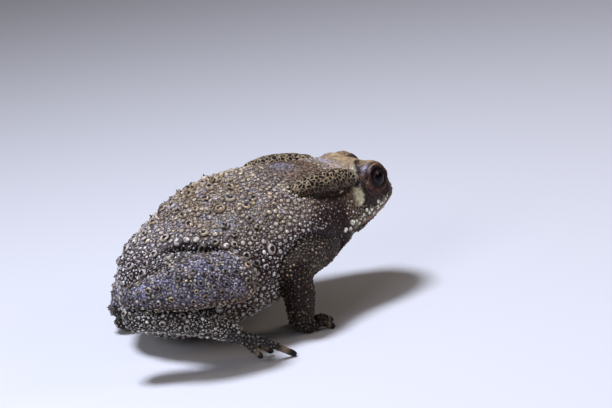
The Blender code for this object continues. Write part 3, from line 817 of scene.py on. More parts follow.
class TOAD_PG_colours(bpy.types.PropertyGroup):
    """Colours of the skin, warts, eyes and studio floor."""

    back: tinted("Back", "Ground of the back and rump", "#7d7066")
    back_pale: tinted("Back, pale", "Paler clouds on the back", "#b0a291")
    nape: tinted("Nape", "Smooth skin between the glands", "#87694f")
    crown: tinted("Crown", "Top of the head", "#a98d69")
    cheek: tinted("Cheek", "Sides of the head", "#523c34")
    crest: tinted("Crest", "Horny ridges of the head", "#17100f")
    under_eye: tinted("Under the eye", "Skin between the eye and the lip", "#403130")
    lid: tinted("Lids", "Folds round the eye", "#69453a")
    lip: tinted("Lip", "Band along the upper jaw", "#a07a56")
    neck: tinted("Neck", "Side of the neck under the gland", "#371b18")
    flank: tinted("Flank", "Ground of the flank", "#402722")
    # The chest's colour is partly painted shade of the throat and chest, and it also paints the shade near
    # the floor
    chest: tinted("Chest", "Throat and chest", "#36130d")
    belly: tinted("Belly", "Underside", "#6b563c")
    leg: tinted("Leg", "Ground of thigh and shank", "#454049")
    leg_pale: tinted("Leg, pale", "Paler clouds on the leg", "#9a98b6")
    forearm: tinted("Forearm", "Ground of the arms", "#180d0b")
    foot: tinted("Foot", "Ground of feet and toes", "#34302f")
    toe_tip: tinted("Toe tip", "Horny tips of fingers and toes", "#120d0c")
    gland: tinted("Gland", "Net of ridges on the glands behind the eyes", "#a08b6c")
    # Also the painted shade in the folds round the limbs, the creases of the lids, the mouth's crease and
    # the nostrils
    pit: tinted("Pit", "Pores of the glands and pits of the warts", "#140b07")
    eardrum: tinted("Eardrum", "Thin skin of the eardrum", "#b3ab8c")
    dusk: tinted("Back, dusky", "Purple brown clouds on the back", "#6a545a")
    # A real lavender bloom on rump and back, and also a painted sky highlight on the crown, the top of the
    # nape, the back and behind the eye
    bloom_and_sky_sheen: tinted("Bloom", "Bluish bloom on the crown and the back", "#b0aec2")
    cream: tinted("Cream", "Tops of the pale granules", "#dacfb4")
    tan: tinted("Tan", "Tops of the granules on the back", "#bda27a")
    pearl: tinted("Pearl", "Tops of the granules on the flank", "#cfcacb")
    gold: tinted("Gold", "Rings of the large warts", "#8c6e43")
    brown: tinted("Brown", "Granules of arms and chest", "#381b0e")
    iris: tinted("Iris", "Copper flecks of the iris", "#2c1a12")
    sheen: tinted("Sheen", "Violet sheen round the pupil", "#352c3a")
    pupil: tinted("Pupil", "Pupil and dark part of the eye", "#030203")
    floor: tinted("Floor", "Studio floor", "#cfcbc8")


def new_material(name, settings):
    """A material with its nodes, its node tree, and its main shader with these inputs set."""
    material = bpy.data.materials.new(name)
    material.use_nodes = True
    shader = material.node_tree.nodes["Principled BSDF"]
    for key, value in settings.items():
        shader.inputs[key].default_value = value
    return material, material.node_tree, shader


def from_to(low, high, start, end):
    """The settings of a map range."""
    return {"From Min": low, "From Max": high, "To Min": start, "To Max": end}


def flecked(tree, tint, place, grain, shades):
    """The tint made darker and lighter in flecks, and the noise behind them."""
    speckle = add_node(tree, "ShaderNodeTexNoise", grain, {"Vector": place}).outputs["Fac"]
    strength = add_node(tree, "ShaderNodeMapRange", from_to(*shades), {"Value": speckle}).outputs["Result"]
    links = {0: tint, "Scale": strength}
    return add_node(tree, "ShaderNodeVectorMath", {"operation": "SCALE"}, links).outputs["Vector"], speckle


def skin_material(colours):
    """Toad skin, live and slightly damp: granules catch small lights, and dark gaps lie between them."""
    settings = {
        "Roughness": 0.55,
        "IOR": 1.32,
        "Specular IOR Level": 0.3,
        "Coat Weight": 0.06,
        "Coat Roughness": 0.2,
    }
    material, tree, shader = new_material("damp toad skin", settings)
    pit = (*colours.pit, 1.0)
    place = add_node(tree, "ShaderNodeTexCoord").outputs["Object"]
    tint = add_node(tree, "ShaderNodeAttribute", {"attribute_name": "tint"}).outputs["Color"]
    gland = add_node(tree, "ShaderNodeAttribute", {"attribute_name": "gland"}).outputs["Fac"]
    smoothness = add_node(tree, "ShaderNodeAttribute", {"attribute_name": "smoothness"}).outputs["Fac"]
    # Granules about 0.65 mm apart, drawn a little coarser than the finest real ones
    granules = add_node(
        tree,
        "ShaderNodeTexVoronoi",
        {"feature": "SMOOTH_F1", "Scale": 1 / (0.65 * MM), "Smoothness": 0.3},
        {"Vector": place},
    ).outputs["Distance"]
    gaps = add_node(
        tree, "ShaderNodeMapRange", from_to(0.3, 0.6, 0.0, 0.82), {"Value": granules}
    ).outputs["Result"]
    rough_share = add_node(
        tree, "ShaderNodeMath", {"operation": "SUBTRACT", 0: 1.0}, {1: smoothness}
    ).outputs["Value"]
    gap_share = add_node(
        tree, "ShaderNodeMath", {"operation": "MULTIPLY"}, {0: gaps, 1: rough_share}
    ).outputs["Value"]
    darkened = add_node(
        tree, "ShaderNodeMix", {"data_type": "RGBA", 7: pit}, {0: gap_share, 6: tint}
    ).outputs[2]
    grain = {"Scale": 1 / (1.3 * MM), "Detail": 3.0, "Roughness": 0.6}
    speckled, _ = flecked(tree, darkened, place, grain, (0.35, 0.68, 0.6, 1.35))
    # The gland's net of wavy ridges is about 1.2 mm from ridge to ridge
    wander = add_node(
        tree, "ShaderNodeTexNoise", {"Scale": 1 / (1.1 * MM), "Detail": 1.0}, {"Vector": place}
    ).outputs["Color"]
    bend = {"operation": "MULTIPLY_ADD", 1: (0.9 * MM,) * 3}
    bent = add_node(tree, "ShaderNodeVectorMath", bend, {0: wander, 2: place}).outputs["Vector"]
    net = add_node(
        tree,
        "ShaderNodeTexVoronoi",
        {"feature": "DISTANCE_TO_EDGE", "Scale": 1 / (1.25 * MM)},
        {"Vector": bent},
    ).outputs["Distance"]
    pores = add_node(
        tree, "ShaderNodeMapRange", from_to(0.04, 0.15, 0.0, 1.0), {"Value": net}
    ).outputs["Result"]
    pore_share = add_node(
        tree, "ShaderNodeMath", {"operation": "MULTIPLY"}, {0: pores, 1: gland}
    ).outputs["Value"]
    pored = add_node(
        tree, "ShaderNodeMix", {"data_type": "RGBA", 7: pit}, {0: pore_share, 6: speckled}
    ).outputs[2]
    tree.links.new(pored, shader.inputs["Base Color"])
    height = add_node(
        tree, "ShaderNodeMath", {"operation": "MULTIPLY"}, {0: granules, 1: rough_share}
    ).outputs["Value"]
    total = add_node(
        tree, "ShaderNodeMath", {"operation": "ADD"}, {0: height, 1: pore_share}
    ).outputs["Value"]
    relief = {"Strength": 0.9, "Distance": 0.3 * MM, "invert": True}
    bump = add_node(tree, "ShaderNodeBump", relief, {"Height": total}).outputs["Normal"]
    tree.links.new(bump, shader.inputs["Normal"])
    return material


def wart_material():
    """Horny wart skin: rings and domes are smoother than the skin between them, with a soft damp gloss."""
    settings = {
        "Roughness": 0.45,
        "IOR": 1.33,
        "Specular IOR Level": 0.25,
        "Coat Weight": 0.25,
        "Coat Roughness": 0.09,
    }
    material, tree, shader = new_material("horny wart skin", settings)
    place = add_node(tree, "ShaderNodeTexCoord").outputs["Object"]
    tint = add_node(tree, "ShaderNodeAttribute", {"attribute_name": "tint"}).outputs["Color"]
    grain = {"Scale": 1 / (0.5 * MM), "Detail": 2.0}
    speckled, speckle = flecked(tree, tint, place, grain, (0.35, 0.65, 0.78, 1.18))
    tree.links.new(speckled, shader.inputs["Base Color"])
    relief = {"Strength": 0.4, "Distance": 0.12 * MM}
    bump = add_node(tree, "ShaderNodeBump", relief, {"Height": speckle}).outputs["Normal"]
    tree.links.new(bump, shader.inputs["Normal"])
    return material


def eye_material():
    """A living eye's clear cornea over a nearly black iris: sharp lights on a deep dark ball."""
    settings = {"Roughness": 0.12, "IOR": 1.376, "Specular IOR Level": 0.2}
    material, tree, shader = new_material("wet eye", settings)
    place = add_node(tree, "ShaderNodeTexCoord").outputs["Object"]
    tint = add_node(tree, "ShaderNodeAttribute", {"attribute_name": "tint"}).outputs["Color"]
    grain = {"Scale": 1 / (0.35 * MM), "Detail": 3.0}
    speckled, _ = flecked(tree, tint, place, grain, (0.4, 0.65, 0.45, 1.4))
    tree.links.new(speckled, shader.inputs["Base Color"])
    return material


def set_tint(mesh, tints):
    """Keeps the colour of each point of the mesh."""
    made = mesh.attributes.new("tint", "FLOAT_COLOR", "POINT")
    whole = np.ones((len(tints), 4), np.float32)
    whole[:, :3] = np.clip(tints, 0, 1)
    made.data.foreach_set("color", whole.ravel())


def to_place(mesh):
    """Turns the toad's own millimetres into the shared frame's metres."""
    mesh.transform(Matrix.Translation(ORIGIN) @ Matrix.Scale(MM, 4))


def from_place(mesh):
    """Points and normals of a placed mesh, in the toad's own millimetres."""
    return (vertex_rows(mesh, "co") - np.array(ORIGIN)) / MM, vertex_rows(mesh, "normal")


def build_skin(sizes, colours):
    """One closed skin over all the rough forms, shaped, coloured and set in place of the flesh nodes."""
    obj = from_bmesh("skin", rough_forms())
    remesh = obj.modifiers.new("one skin", "REMESH")
    remesh.mode = "VOXEL"
    remesh.voxel_size = sizes.grain / MM
    apply_modifiers(obj)
    clay = Clay(obj.data)
    fine = 1 - Skin(clay.points, clay.normals).foot
    clay.relax(2, 0.5)
    clay.relax(5, 0.5, fine)
    for side in SIDES:
        thigh, shank = (limb_share(clay.points, knots[side], 1.1) for knots in (THIGH, SHANK))
        clay.relax(24, 0.5, np.minimum(thigh, shank) * step(12, 16, np.abs(clay.points[:, 1])))
    clay.write()
    fold, ridge, _ = folded(clay.points)
    clay.push(0.6 * ridge - 1.5 * fold)
    clay.write()
    shape_head(clay)
    skin = Skin(clay.points, clay.normals)
    loose = skin.trunk + 0.5 * skin.hind
    broad, small = ripple(clay.points, 8.0, 2, 1), ripple(clay.points, 2.6, 2, 2)
    clay.push(0.35 * loose * broad + 0.16 * (loose + skin.gland) * small)
    clay.points[:, 2] = np.maximum(clay.points[:, 2], 0)
    clay.write()
    skin = Skin(clay.points, clay.normals)
    # Painted shade in the hollows: where smoothing would lift the skin outward, the tint is darkened
    shape = clay.points.copy()
    clay.relax(24, 0.5)
    hollow = np.einsum("ij,ij->i", clay.points - shape, clay.normals)
    clay.points = shape
    dark = 0.75 * step(0.04, 0.4, hollow) * (1 - skin.drum) * (1 - skin.lids)
    set_tint(obj.data, ground_tint(skin, colours) * (1 - dark)[:, None])
    set_values(obj.data, "gland", skin.gland * (1 - step(37.4, 38.6, clay.points[:, 0])))
    lip = skin.head * bell(mouth_height(clay.points) - 1.0, 0.9)
    calm = np.maximum.reduce([skin.drum, lip, 0.75 * skin.crown, skin.gland, skin.tip])
    set_values(obj.data, "smoothness", calm)
    obj.data.shade_smooth()
    to_place(obj.data)
    obj.data.materials.append(skin_material(colours))
    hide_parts(*FLESH)
    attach(obj, "root")
    return obj


# Places tried for ringed warts, and how many times as many for granules and for the fine ones
TRIES, QUICK_TRIES = 30000, 9000
GRANULE_TRIES, FINE_TRIES = 3, 4
# Edge of the cells in which neighbours are looked for, in the toad's own millimetres
CELL = 3.0
MOST_TRIANGLES = 190000
# Cells to each side of the square on which the skin is rolled out, the margin and width of what lies in one,
# and half the width of one wart's own patch
GRID = 4
MARGIN, WITHIN = 0.01, 0.23
PATCH = 0.0014
# Rough radii of the body and the limbs, against which the nearest of them is found
BODY_RADIUS, LIMB_RADIUS = 24, 6
CLEAR_OF_FLOOR = 0.02
# The jaw's warts against the cream of the others, in red, green and blue
JAW_WHITENESS = (1.25, 1.3, 1.45)
# Outlines of half a wart from its foot to its middle: radius, height and the name of the colour there
RINGED = (
    (1.16, -0.35, "ground"),
    (1.0, 0.1, "edge"),
    (0.84, 0.42, "top"),
    (0.6, 0.62, "top"),
    (0.42, 0.56, "pit"),
    (0.2, 0.66, "pit"),
    (0.0, 1.0, "pit"),
)
PEARL = (
    (1.06, -0.4, "ground"),
    (0.94, 0.16, "edge"),
    (0.64, 0.52, "top"),
    (0.26, 0.68, "top"),
    (0.0, 0.72, "dot"),
)


def wart_shape(outline, segments):
    """Points, faces and colour names of one wart, spun from its outline."""
    bm = bmesh.new()
    first = [bm.verts.new((radius, 0, height)) for radius, height, _ in outline]
    edges = [bm.edges.new(pair) for pair in zip(first, first[1:])]
    bmesh.ops.spin(
        bm,
        geom=first + edges,
        axis=(0, 0, 1),
        angle=2 * math.pi,
        steps=segments,
        use_merge=True,
    )
    bmesh.ops.remove_doubles(bm, verts=bm.verts, dist=1e-4)
    bmesh.ops.recalc_face_normals(bm, faces=bm.faces)
    top = max(bm.faces, key=lambda face: face.calc_center_median().z)
    if top.normal.z < 0:
        bmesh.ops.reverse_faces(bm, faces=bm.faces)
    bmesh.ops.triangulate(bm, faces=bm.faces)
    bm.verts.index_update()
    points = np.array([v.co for v in bm.verts])
    faces = np.array([[v.index for v in f.verts] for f in bm.faces])
    bm.free()
    names = []
    for x, y, z in points:
        nearest = min(outline, key=lambda row: abs(math.hypot(x, y) - row[0]) + abs(z - row[1]))
        names.append(nearest[2])
    return points, faces, names


def scattered(mesh, wanted_size, tries, seed, taken):
    """Places on the mesh for round forms, largest first, as (points, normals, radii).

    wanted_size gives each place its radius and the room it keeps from its neighbours' rooms.
    taken holds the places and rooms of the warts that are there already.
    """
    rng = np.random.default_rng(seed)
    points, normals = from_place(mesh)
    triangles = np.array([t.vertices for t in mesh.loop_triangles])
    a, b, c = (points[triangles[:, i]] for i in range(3))
    areas = np.linalg.norm(np.cross(b - a, c - a), axis=1)
    chosen = rng.choice(len(triangles), tries, p=areas / areas.sum())
    s, t = rng.random((2, tries, 1))
    flip = (s + t) > 1
    s, t = np.where(flip, 1 - s, s), np.where(flip, 1 - t, t)
    spots = a[chosen] + s * (b - a)[chosen] + t * (c - a)[chosen]
    na, nb, nc = (normals[triangles[chosen, i]] for i in range(3))
    turns = na + s * (nb - na) + t * (nc - na)
    turns /= np.linalg.norm(turns, axis=1)[:, None]
    radii, rooms = wanted_size(Skin(spots, turns), rng)
    cells = {}
    kept = []
    for place, room in taken:
        cells.setdefault(tuple(np.floor(place / CELL).astype(int)), []).append((place, room))
    keys = np.floor(spots / CELL).astype(int)
    near = [(i, j, k) for i in (-1, 0, 1) for j in (-1, 0, 1) for k in (-1, 0, 1)]
    for number in np.argsort(-radii):
        radius = radii[number]
        if radius <= 0:
            break
        x, y, z = keys[number]
        place = spots[number]
        found = [row for i, j, k in near for row in cells.get((x + i, y + j, z + k), ())]
        if found:
            others = np.array([row[0] for row in found])
            reach = rooms[number] + np.array([row[1] for row in found])
            if (((others - place) ** 2).sum(1) < reach**2).any():
                continue
        cells.setdefault((x, y, z), []).append((place, rooms[number]))
        kept.append(number)
    return spots[kept], turns[kept], radii[kept]


def unwrapped(points):
    """Where each point lies when body and limbs are rolled out flat, each in its own cell of a grid."""
    lines = [[(-34, 0, 18), (10, 0, 24), (57, 0, 32)]]
    for side in SIDES:
        for knots in (THIGH, SHANK, TARSUS, UPPER_ARM, FOREARM):
            lines.append([row[:3] for row in knots[side]])
    radii = [BODY_RADIUS] + [LIMB_RADIUS] * (len(lines) - 1)
    best = np.full(len(points), 1e9)
    made = np.zeros((len(points), 2))
    for number, (line, radius) in enumerate(zip(lines, radii)):
        distance, along = line_distance(points, line)
        nearer = distance / radius < best
        best[nearer] = (distance / radius)[nearer]
        start, end = np.array(line[0], float), np.array(line[-1], float)
        axis = (end - start) / np.linalg.norm(end - start)
        side = np.cross(axis, (0, 0, 1.0))
        side /= np.linalg.norm(side)
        centre = start + along[:, None] * (end - start)
        offset = points - centre
        angle = np.arctan2(offset @ side, offset @ np.cross(side, axis)) / (2 * math.pi) + 0.5
        cell = np.array([number % GRID, number // GRID]) / GRID
        spread = np.stack([MARGIN + WITHIN * along, MARGIN + WITHIN * angle], axis=1)
        made[nearer] = (cell + spread)[nearer]
    return made


def joined_warts(name, wart, spots, turns, radii, palette, seed, height, dark):
    """One mesh of many copies of a wart, each sized, turned and coloured at its own place."""
    rng = np.random.default_rng(seed)
    shape, faces, names = wart
    count, each = len(spots), len(shape)
    aside = np.cross(turns, rng.normal(size=(count, 3)))
    aside /= np.linalg.norm(aside, axis=1)[:, None]
    other = np.cross(turns, aside)
    stretch = rng.uniform(0.86, 1.16, count)
    tall = height * rng.uniform(0.75, 1.2, count)
    wobble = 1 + 0.1 * rng.normal(size=(count, each))
    uneven = 1 + 0.18 * rng.normal(size=(count, each))
    local = shape[None, :, :] * radii[:, None, None]
    points = (
        spots[:, None, :]
        + (local[:, :, 0] * stretch[:, None] * wobble)[:, :, None] * aside[:, None, :]
        + (local[:, :, 1] / stretch[:, None] * wobble)[:, :, None] * other[:, None, :]
        + (local[:, :, 2] * tall[:, None] * uneven)[:, :, None] * turns[:, None, :]
    )
    points[:, :, 2] = np.maximum(points[:, :, 2], CLEAR_OF_FLOOR)
    tints = np.stack([palette[row] for row in names], axis=1)
    tints = tints * np.clip(1 + 0.3 * rng.normal(size=(count, each, 1)), 0.4, 1.8)
    tints = np.where(rng.random((count, each, 1)) < dark, palette["pit"][:, None, :], tints)
    mesh = bpy.data.meshes.new(name)
    whole = (faces[None] + (np.arange(count) * each)[:, None, None]).reshape(-1, 3)
    mesh.from_pydata(points.reshape(-1, 3), [], whole)
    set_tint(mesh, tints.reshape(-1, 3))
    unwrap = mesh.uv_layers.new(name="OFBake")
    patch = unwrapped(spots)[:, None, :] + shape[None, :, :2] * PATCH
    unwrap.data.foreach_set("uv", patch.reshape(-1, 2)[whole.ravel()].ravel())
    mesh.shade_smooth()
    to_place(mesh)
    return link_object(name, mesh)


def clear_of_face(skin):
    """0 in the eyes, on the eardrums and along the lips, where nothing grows."""
    x = skin.points[:, 0]
    free = 1 - skin.drum
    for side in SIDES:
        q, front = drum_distance(skin.points, side)
        free *= 1 - front * skin.head * (1 - step(1.1, 1.3, q))
        free *= step(6.4, LIDS_END, spot_distance(skin.points, EYE, side))
        free *= step(1.6, 2.0, spot_distance(skin.points, NOSTRIL, side))
    height = mouth_height(skin.points)
    free *= 1 - skin.head * step(39.5, 41, x) * step(4.0, 5.0, height)
    free *= 1 - skin.head * step(33, 35, x) * (step(-0.9, -0.4, height) - step(1.4, 1.9, height))
    return free


def regions(skin):
    """Shares of the trunk that carry different granules."""
    x, y, z = skin.points.T
    nape = skin.trunk * step(8, 17, x) * (1 - step(13, 17, np.abs(y))) * skin.up
    flank = skin.trunk * (1 - skin.back)
    neck = np.maximum(flank, skin.trunk * (1 - step(34, 39, z))) * step(13, 24, x)
    chest = flank * step(8, 18, x) * (1 - step(15, 25, z))
    return nape, flank, neck, chest


def ringed_sizes(largest):
    """Sizes and rooms of the ringed warts: on rump, back and hind legs, none in front of the arms."""

    def wanted(skin, rng):
        x, _, z = skin.points.T
        chance = rng.random(len(x))
        spread = rng.random(len(x)) ** 9
        rump = skin.trunk * step(20, 30, z) * (1 - step(-6, 6, x))
        share = rump + skin.hind * (1 - skin.below) * (1 - skin.inner)
        share += 0.5 * skin.heel * (1 - skin.digit)
        radii = largest * (0.23 + 0.13 * rng.random(len(x)) + 0.6 * spread)
        radii += skin.hind * (largest * (0.34 + 0.2 * rng.random(len(x)) + 0.16 * spread) - radii)
        radii *= 1 - 0.25 * skin.foot
        fold, ridge, _ = folded(skin.points)
        share *= (1 - fold) * (1 - ridge * skin.trunk)
        share *= 1 - 0.7 * skin.knee
        room = radii + 0.1 + 0.12 * skin.hind + rng.random(len(x)) * (0.6 * rump + 0.25)
        return np.where(chance < share, radii, 0), room

    return wanted


def granule_sizes(largest):
    """Sizes and rooms of the granules: close on back and flank, small on throat and arms, few on head."""

    def wanted(skin, rng):
        x, _, z = skin.points.T
        chance = rng.random(len(x))
        spread = rng.random(len(x))
        nape, flank, neck, chest = regions(skin)
        share = (1 - 0.99 * nape) * (1 - 0.98 * skin.crown) * (1 - skin.gland) * (1 - skin.tip)
        share *= (1 - 0.4 * skin.below) * (1 - 0.9 * skin.inner) * (1 - skin.crest)
        share *= (1 - 0.97 * skin.shade) * (1 - 0.55 * neck) * (1 - 0.8 * skin.digit)
        share *= (1 - 0.3 * skin.hind) * (1 - 0.6 * skin.knee)
        share *= clear_of_face(skin) * step(0.25, 0.6, z) * (1 - 0.93 * skin.head * step(33, 36, x))
        sizes = 0.34 + 0.66 * spread**1.9
        sizes *= (1 - 0.4 * skin.hind) * (1 - 0.15 * flank) * (1 - 0.42 * neck)
        sizes *= 1 - 0.45 * np.maximum.reduce([skin.fore, skin.foot - 0.35 * skin.heel, skin.head, chest])
        fold, ridge, _ = folded(skin.points)
        ridge = ridge * skin.trunk * step(-0.2, 0.1, skin.normals[:, 2])
        share *= 1 - 0.7 * fold
        radii = largest * np.where(ridge > 0.5, 0.9 + 0.45 * spread, sizes)
        front = skin.trunk * step(2, 14, x)
        radii = radii * (1 - 0.2 * front)
        loose = (0.1 + 0.5 * rng.random(len(x))) * neck * (1 - chest)
        room = 0.95 * radii + 0.16 * flank + 0.1 * front + loose
        return np.where(chance < share, radii, 0), room

    return wanted


def fill_sizes(largest):
    """Sizes and rooms of the finest granules, which fill the skin between the others."""

    def wanted(skin, rng):
        x, _, z = skin.points.T
        chance = rng.random(len(x))
        nape, _, neck, _ = regions(skin)
        covered = np.maximum(skin.hind, skin.back * skin.trunk)
        smooth_face = skin.head * step(38, 42, x) * (0.75 + 0.22 * step(2.6, 3.4, mouth_height(skin.points)))
        share = (0.9 - 0.8 * neck) * (1 - 0.985 * nape) * (1 - 0.8 * covered)
        for bare in (0.97 * skin.shade, 0.9 * skin.crown, skin.gland, skin.tip):
            share *= 1 - bare
        share *= (1 - 0.6 * skin.below) * (1 - 0.9 * skin.inner) * (1 - skin.crest) * (1 - 0.5 * skin.knee)
        share *= clear_of_face(skin) * step(0.25, 0.6, z) * (1 - smooth_face)
        radii = largest * (0.24 + 0.2 * rng.random(len(x)))
        return np.where(chance < share, radii, 0), radii

    return wanted


def jaw_warts(mesh):
    """Places of the pale warts in a broken band above the lip."""
    rng = np.random.default_rng(5)
    points, normals = from_place(mesh)
    height = mouth_height(points)
    x = points[:, 0]
    band = 3.1 - 0.5 * step(40, 50, x) + 0.6 * np.sin(x * 1.3)
    share = (x > 31) & (x < 50) & (np.abs(height - band) < 0.9) & (np.abs(points[:, 1]) > 6)
    chosen = rng.permutation(np.flatnonzero(share))
    kept, radii = [], []
    for number in chosen:
        radius = 0.5 + 0.6 * rng.random() * (1 - step(40, 52, x[number]))
        if kept:
            apart = np.linalg.norm(points[kept] - points[number], axis=1)
            if (apart < 0.92 * (np.array(radii) + radius)).any():
                continue
        kept.append(number)
        radii.append(radius)
    return points[kept], normals[kept], np.array(radii)


def wart_palette(spots, turns, colours, kind, seed):
    """Each wart's own ground, edge, top, pit and dot colours."""
    rng = np.random.default_rng(seed)
    skin = Skin(spots, turns)
    x, _, z = spots.T
    ground = ground_tint(skin, colours)
    count = len(spots)
    _, flank, neck, chest = regions(skin)
    _, ridge, shade = folded(spots)
    pale = np.maximum.reduce([0.8 * flank, skin.trunk * ridge, 0.6 * skin.heel])
    whim = rng.random(count)
    golden = np.clip(skin.hind * (0.5 + 0.5 * whim) + skin.trunk * skin.back * whim, 0, 1)
    if kind == "ringed":
        golden = 0.45 + 0.4 * golden
    top = blended(
        (
            (golden, colours.cream),
            (pale, colours.pearl),
            (skin.trunk * skin.back * 0.6, colours.tan),
            (0.5 * skin.trunk * step(2, 14, x) * (whim > 0.35), colours.pearl),
            (golden * 0.9, colours.gold),
            (0.45 * skin.hind * (whim > (0.88 if kind == "ringed" else 0.55)), colours.pearl),
            (0.6 * skin.hind * (whim < 0.65) * (kind == "ringed"), colours.brown),
            (0.35 * (skin.foot - skin.heel), colours.foot),
            (0.8 * skin.fore, colours.gold),
            ((0.3 + 0.65 * (whim < 0.7)) * skin.fore, colours.brown),
            (0.75 * skin.hand, colours.brown),
            (0.7 * skin.digit * (1 - skin.hand), colours.foot),
            (chest * (0.8 + 0.2 * (whim < 0.85)), colours.brown),
            (0.6 * neck * (whim < 0.7), colours.neck),
            (0.75 * skin.shade, colours.neck),
            (0.6 * skin.head, colours.cheek),
        )
    )
    # How much of the ground's own colour shows through the top
    dull = 0.5 * rng.random(count) if kind == "ringed" else 0.75 * rng.random(count) ** 2
    if kind == "fine":
        dark = np.maximum.reduce([0.6 * flank, neck, chest, skin.fore, skin.hand])
        dull = rng.random(count) ** (1.8 - 1.5 * dark)
    if kind == "jaw":
        top = np.ones((count, 1)) * np.array(colours.cream[:]) * JAW_WHITENESS
        dull = 0.25 * rng.random(count)
    top += dull[:, None] * (ground * 1.15 - top)
    rump = skin.trunk * (1 - step(-24, -8, x)) * step(22, 30, z)
    top *= (1 + 0.2 * rump)[:, None]
    # Painted shade on the tops: darker low down near the floor, and in the shade beside the limbs
    top *= (1 - 0.6 * (1 - step(1, 9, z)) * (1 - skin.foot))[:, None]
    top *= (1 - 0.5 * shade * flank * (1 - ridge))[:, None]
    edge = 0.2 * top + 0.15 * ground
    pit = np.ones((count, 1)) * np.array(colours.pit[:])
    dotted = (rng.random(count) < 0.25 + 0.6 * np.maximum(skin.hind, skin.trunk * skin.back))[:, None]
    dot = np.where(dotted, pit, top)
    return {"ground": ground * 0.2, "edge": edge, "top": top, "pit": pit, "dot": dot}


def build_warts(sizes, colours):
    """Scatters each kind of wart over the skin, largest first, and joins it into a few meshes."""
    mesh = bpy.data.objects["skin"].data
    mesh.calc_loop_triangles()
    material = wart_material()
    tries = TRIES
    jaw = jaw_warts(mesh)
    taken = list(zip(jaw[0], jaw[2]))
    ringed = scattered(mesh, ringed_sizes(sizes.wart / MM), tries, 11, taken)
    taken += list(zip(ringed[0], ringed[2]))
    granules = scattered(mesh, granule_sizes(sizes.granule / MM), tries * GRANULE_TRIES, 12, taken)
    taken += list(zip(granules[0], granules[2]))
    fine = scattered(mesh, fill_sizes(sizes.granule / MM), tries * FINE_TRIES, 13, taken)
    # Name, outline, segments, places, height, kind of colours and share of pitted points
    groups = (
        ("jaw_warts", PEARL, 8, jaw, 1.0, "jaw", 0.12),
        ("ringed_warts", RINGED, 9, ringed, 1.0, "ringed", 0.24),
        ("granules", PEARL, 8, granules, 1.0, "pearl", 0.08),
        ("fine_granules", PEARL, 5, fine, 0.9, "fine", 0.14),
    )
    for number, (name, outline, segments, places, height, kind, dark) in enumerate(groups):
        palette = wart_palette(*places[:2], colours, kind, 20 + number)
        shape = wart_shape(outline, segments)
        most = MOST_TRIANGLES // len(shape[1])
        for part, start in enumerate(range(0, len(places[0]), most)):
            some = slice(start, start + most)
            tints = {key: values[some] for key, values in palette.items()}
            seed = 40 + 10 * number + part
            here = [values[some] for values in places]
            obj = joined_warts(f"{name}_{part + 1}", shape, *here, tints, seed, height, dark)
            obj.data.materials.append(material)
            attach(obj, "root")
        print(name, len(places[0]), "warts", len(places[0]) * len(shape[1]), "triangles")


def build_eyes(colours):
    """Both eyeballs, with pupil, iris and sheen as colours of their points."""
    material = eye_material()
    for side in SIDES:
        centre, gaze, level, upright = eye_frame(side)
        bm = bmesh.new()
        bmesh.ops.create_uvsphere(bm, u_segments=64, v_segments=48, radius=EYE_RADIUS)
        turn = Matrix((level, upright, gaze)).transposed().to_4x4()
        bmesh.ops.transform(bm, matrix=Matrix.Translation(centre) @ turn, verts=bm.verts)
        bmesh.ops.recalc_face_normals(bm, faces=bm.faces)
        obj = from_bmesh(f"eyeball_{side}", bm)
        clay = Clay(obj.data)
        offset = (clay.points - centre) / EYE_RADIUS
        across, tall, front = offset @ level, offset @ upright, offset @ gaze
        pupil = (1 - step(0.85, 1.1, np.hypot(across / 0.34, tall / 0.25))) * (front > 0)
        ring = bell(np.hypot(across / 0.36, tall / 0.27) - 1.25, 0.16) * (front > 0)
        limbus = step(0.52, 0.66, np.hypot(across, tall))
        sheen = 0.5 * bell(np.hypot(across / 0.4, tall / 0.42) - 1.0, 0.12) * (front > 0)
        tints = blended(
            (
                (np.ones(len(across)), colours.iris),
                (0.8 * (1 - ring), colours.pupil),
                (pupil, colours.pupil),
                (limbus, colours.pupil),
                (sheen, colours.sheen),
            )
        )
        set_tint(obj.data, tints)
        obj.data.shade_smooth()
        to_place(obj.data)
        obj.data.materials.append(material)
        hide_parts(f"eye_{side}")
        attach(obj, "root")


# The stage: the camera's aim and turn, in the toad's own millimetres and degrees
VIEW_HEADING = 65.0
VIEW_DROP = 15.0
VIEW_ROLL = -7.0
VIEW_AIM = Vector((28.0, 0.0, 32.4))
VIEW_DISTANCE = 520.0
LENS = 100.0
SENSOR = 36.0
# Lamps: name, place from the aim and width in metres, power in watts and colour
LAMPS = (
    ("sky", (-0.2, -0.05, 0.7), 0.2, 8.8, "#dbe5ff"),
    ("front", (0.5, -0.45, 0.35), 0.3, 0.9, "#fff0e2"),
    ("rear", (-0.55, -0.35, 0.35), 0.3, 1.5, "#e4eaff"),
)
AIR_COLOUR, AIR_STRENGTH = "#e9e6ea", 0.16
FLOOR_HALF = 6.0


def add_lamp(aim, name, offset, size, power, tone):
    """A round soft lamp, turned to the aim."""
    data = bpy.data.lights.new(name, "AREA")
    data.shape = "DISK"
    data.size = size
    data.energy = power
    data.color = colour(tone)[:3]
    obj = link_object(name, data)
    obj.location = aim + Vector(offset)
    obj.rotation_euler = (aim - obj.location).to_track_quat("-Z", "Y").to_euler()


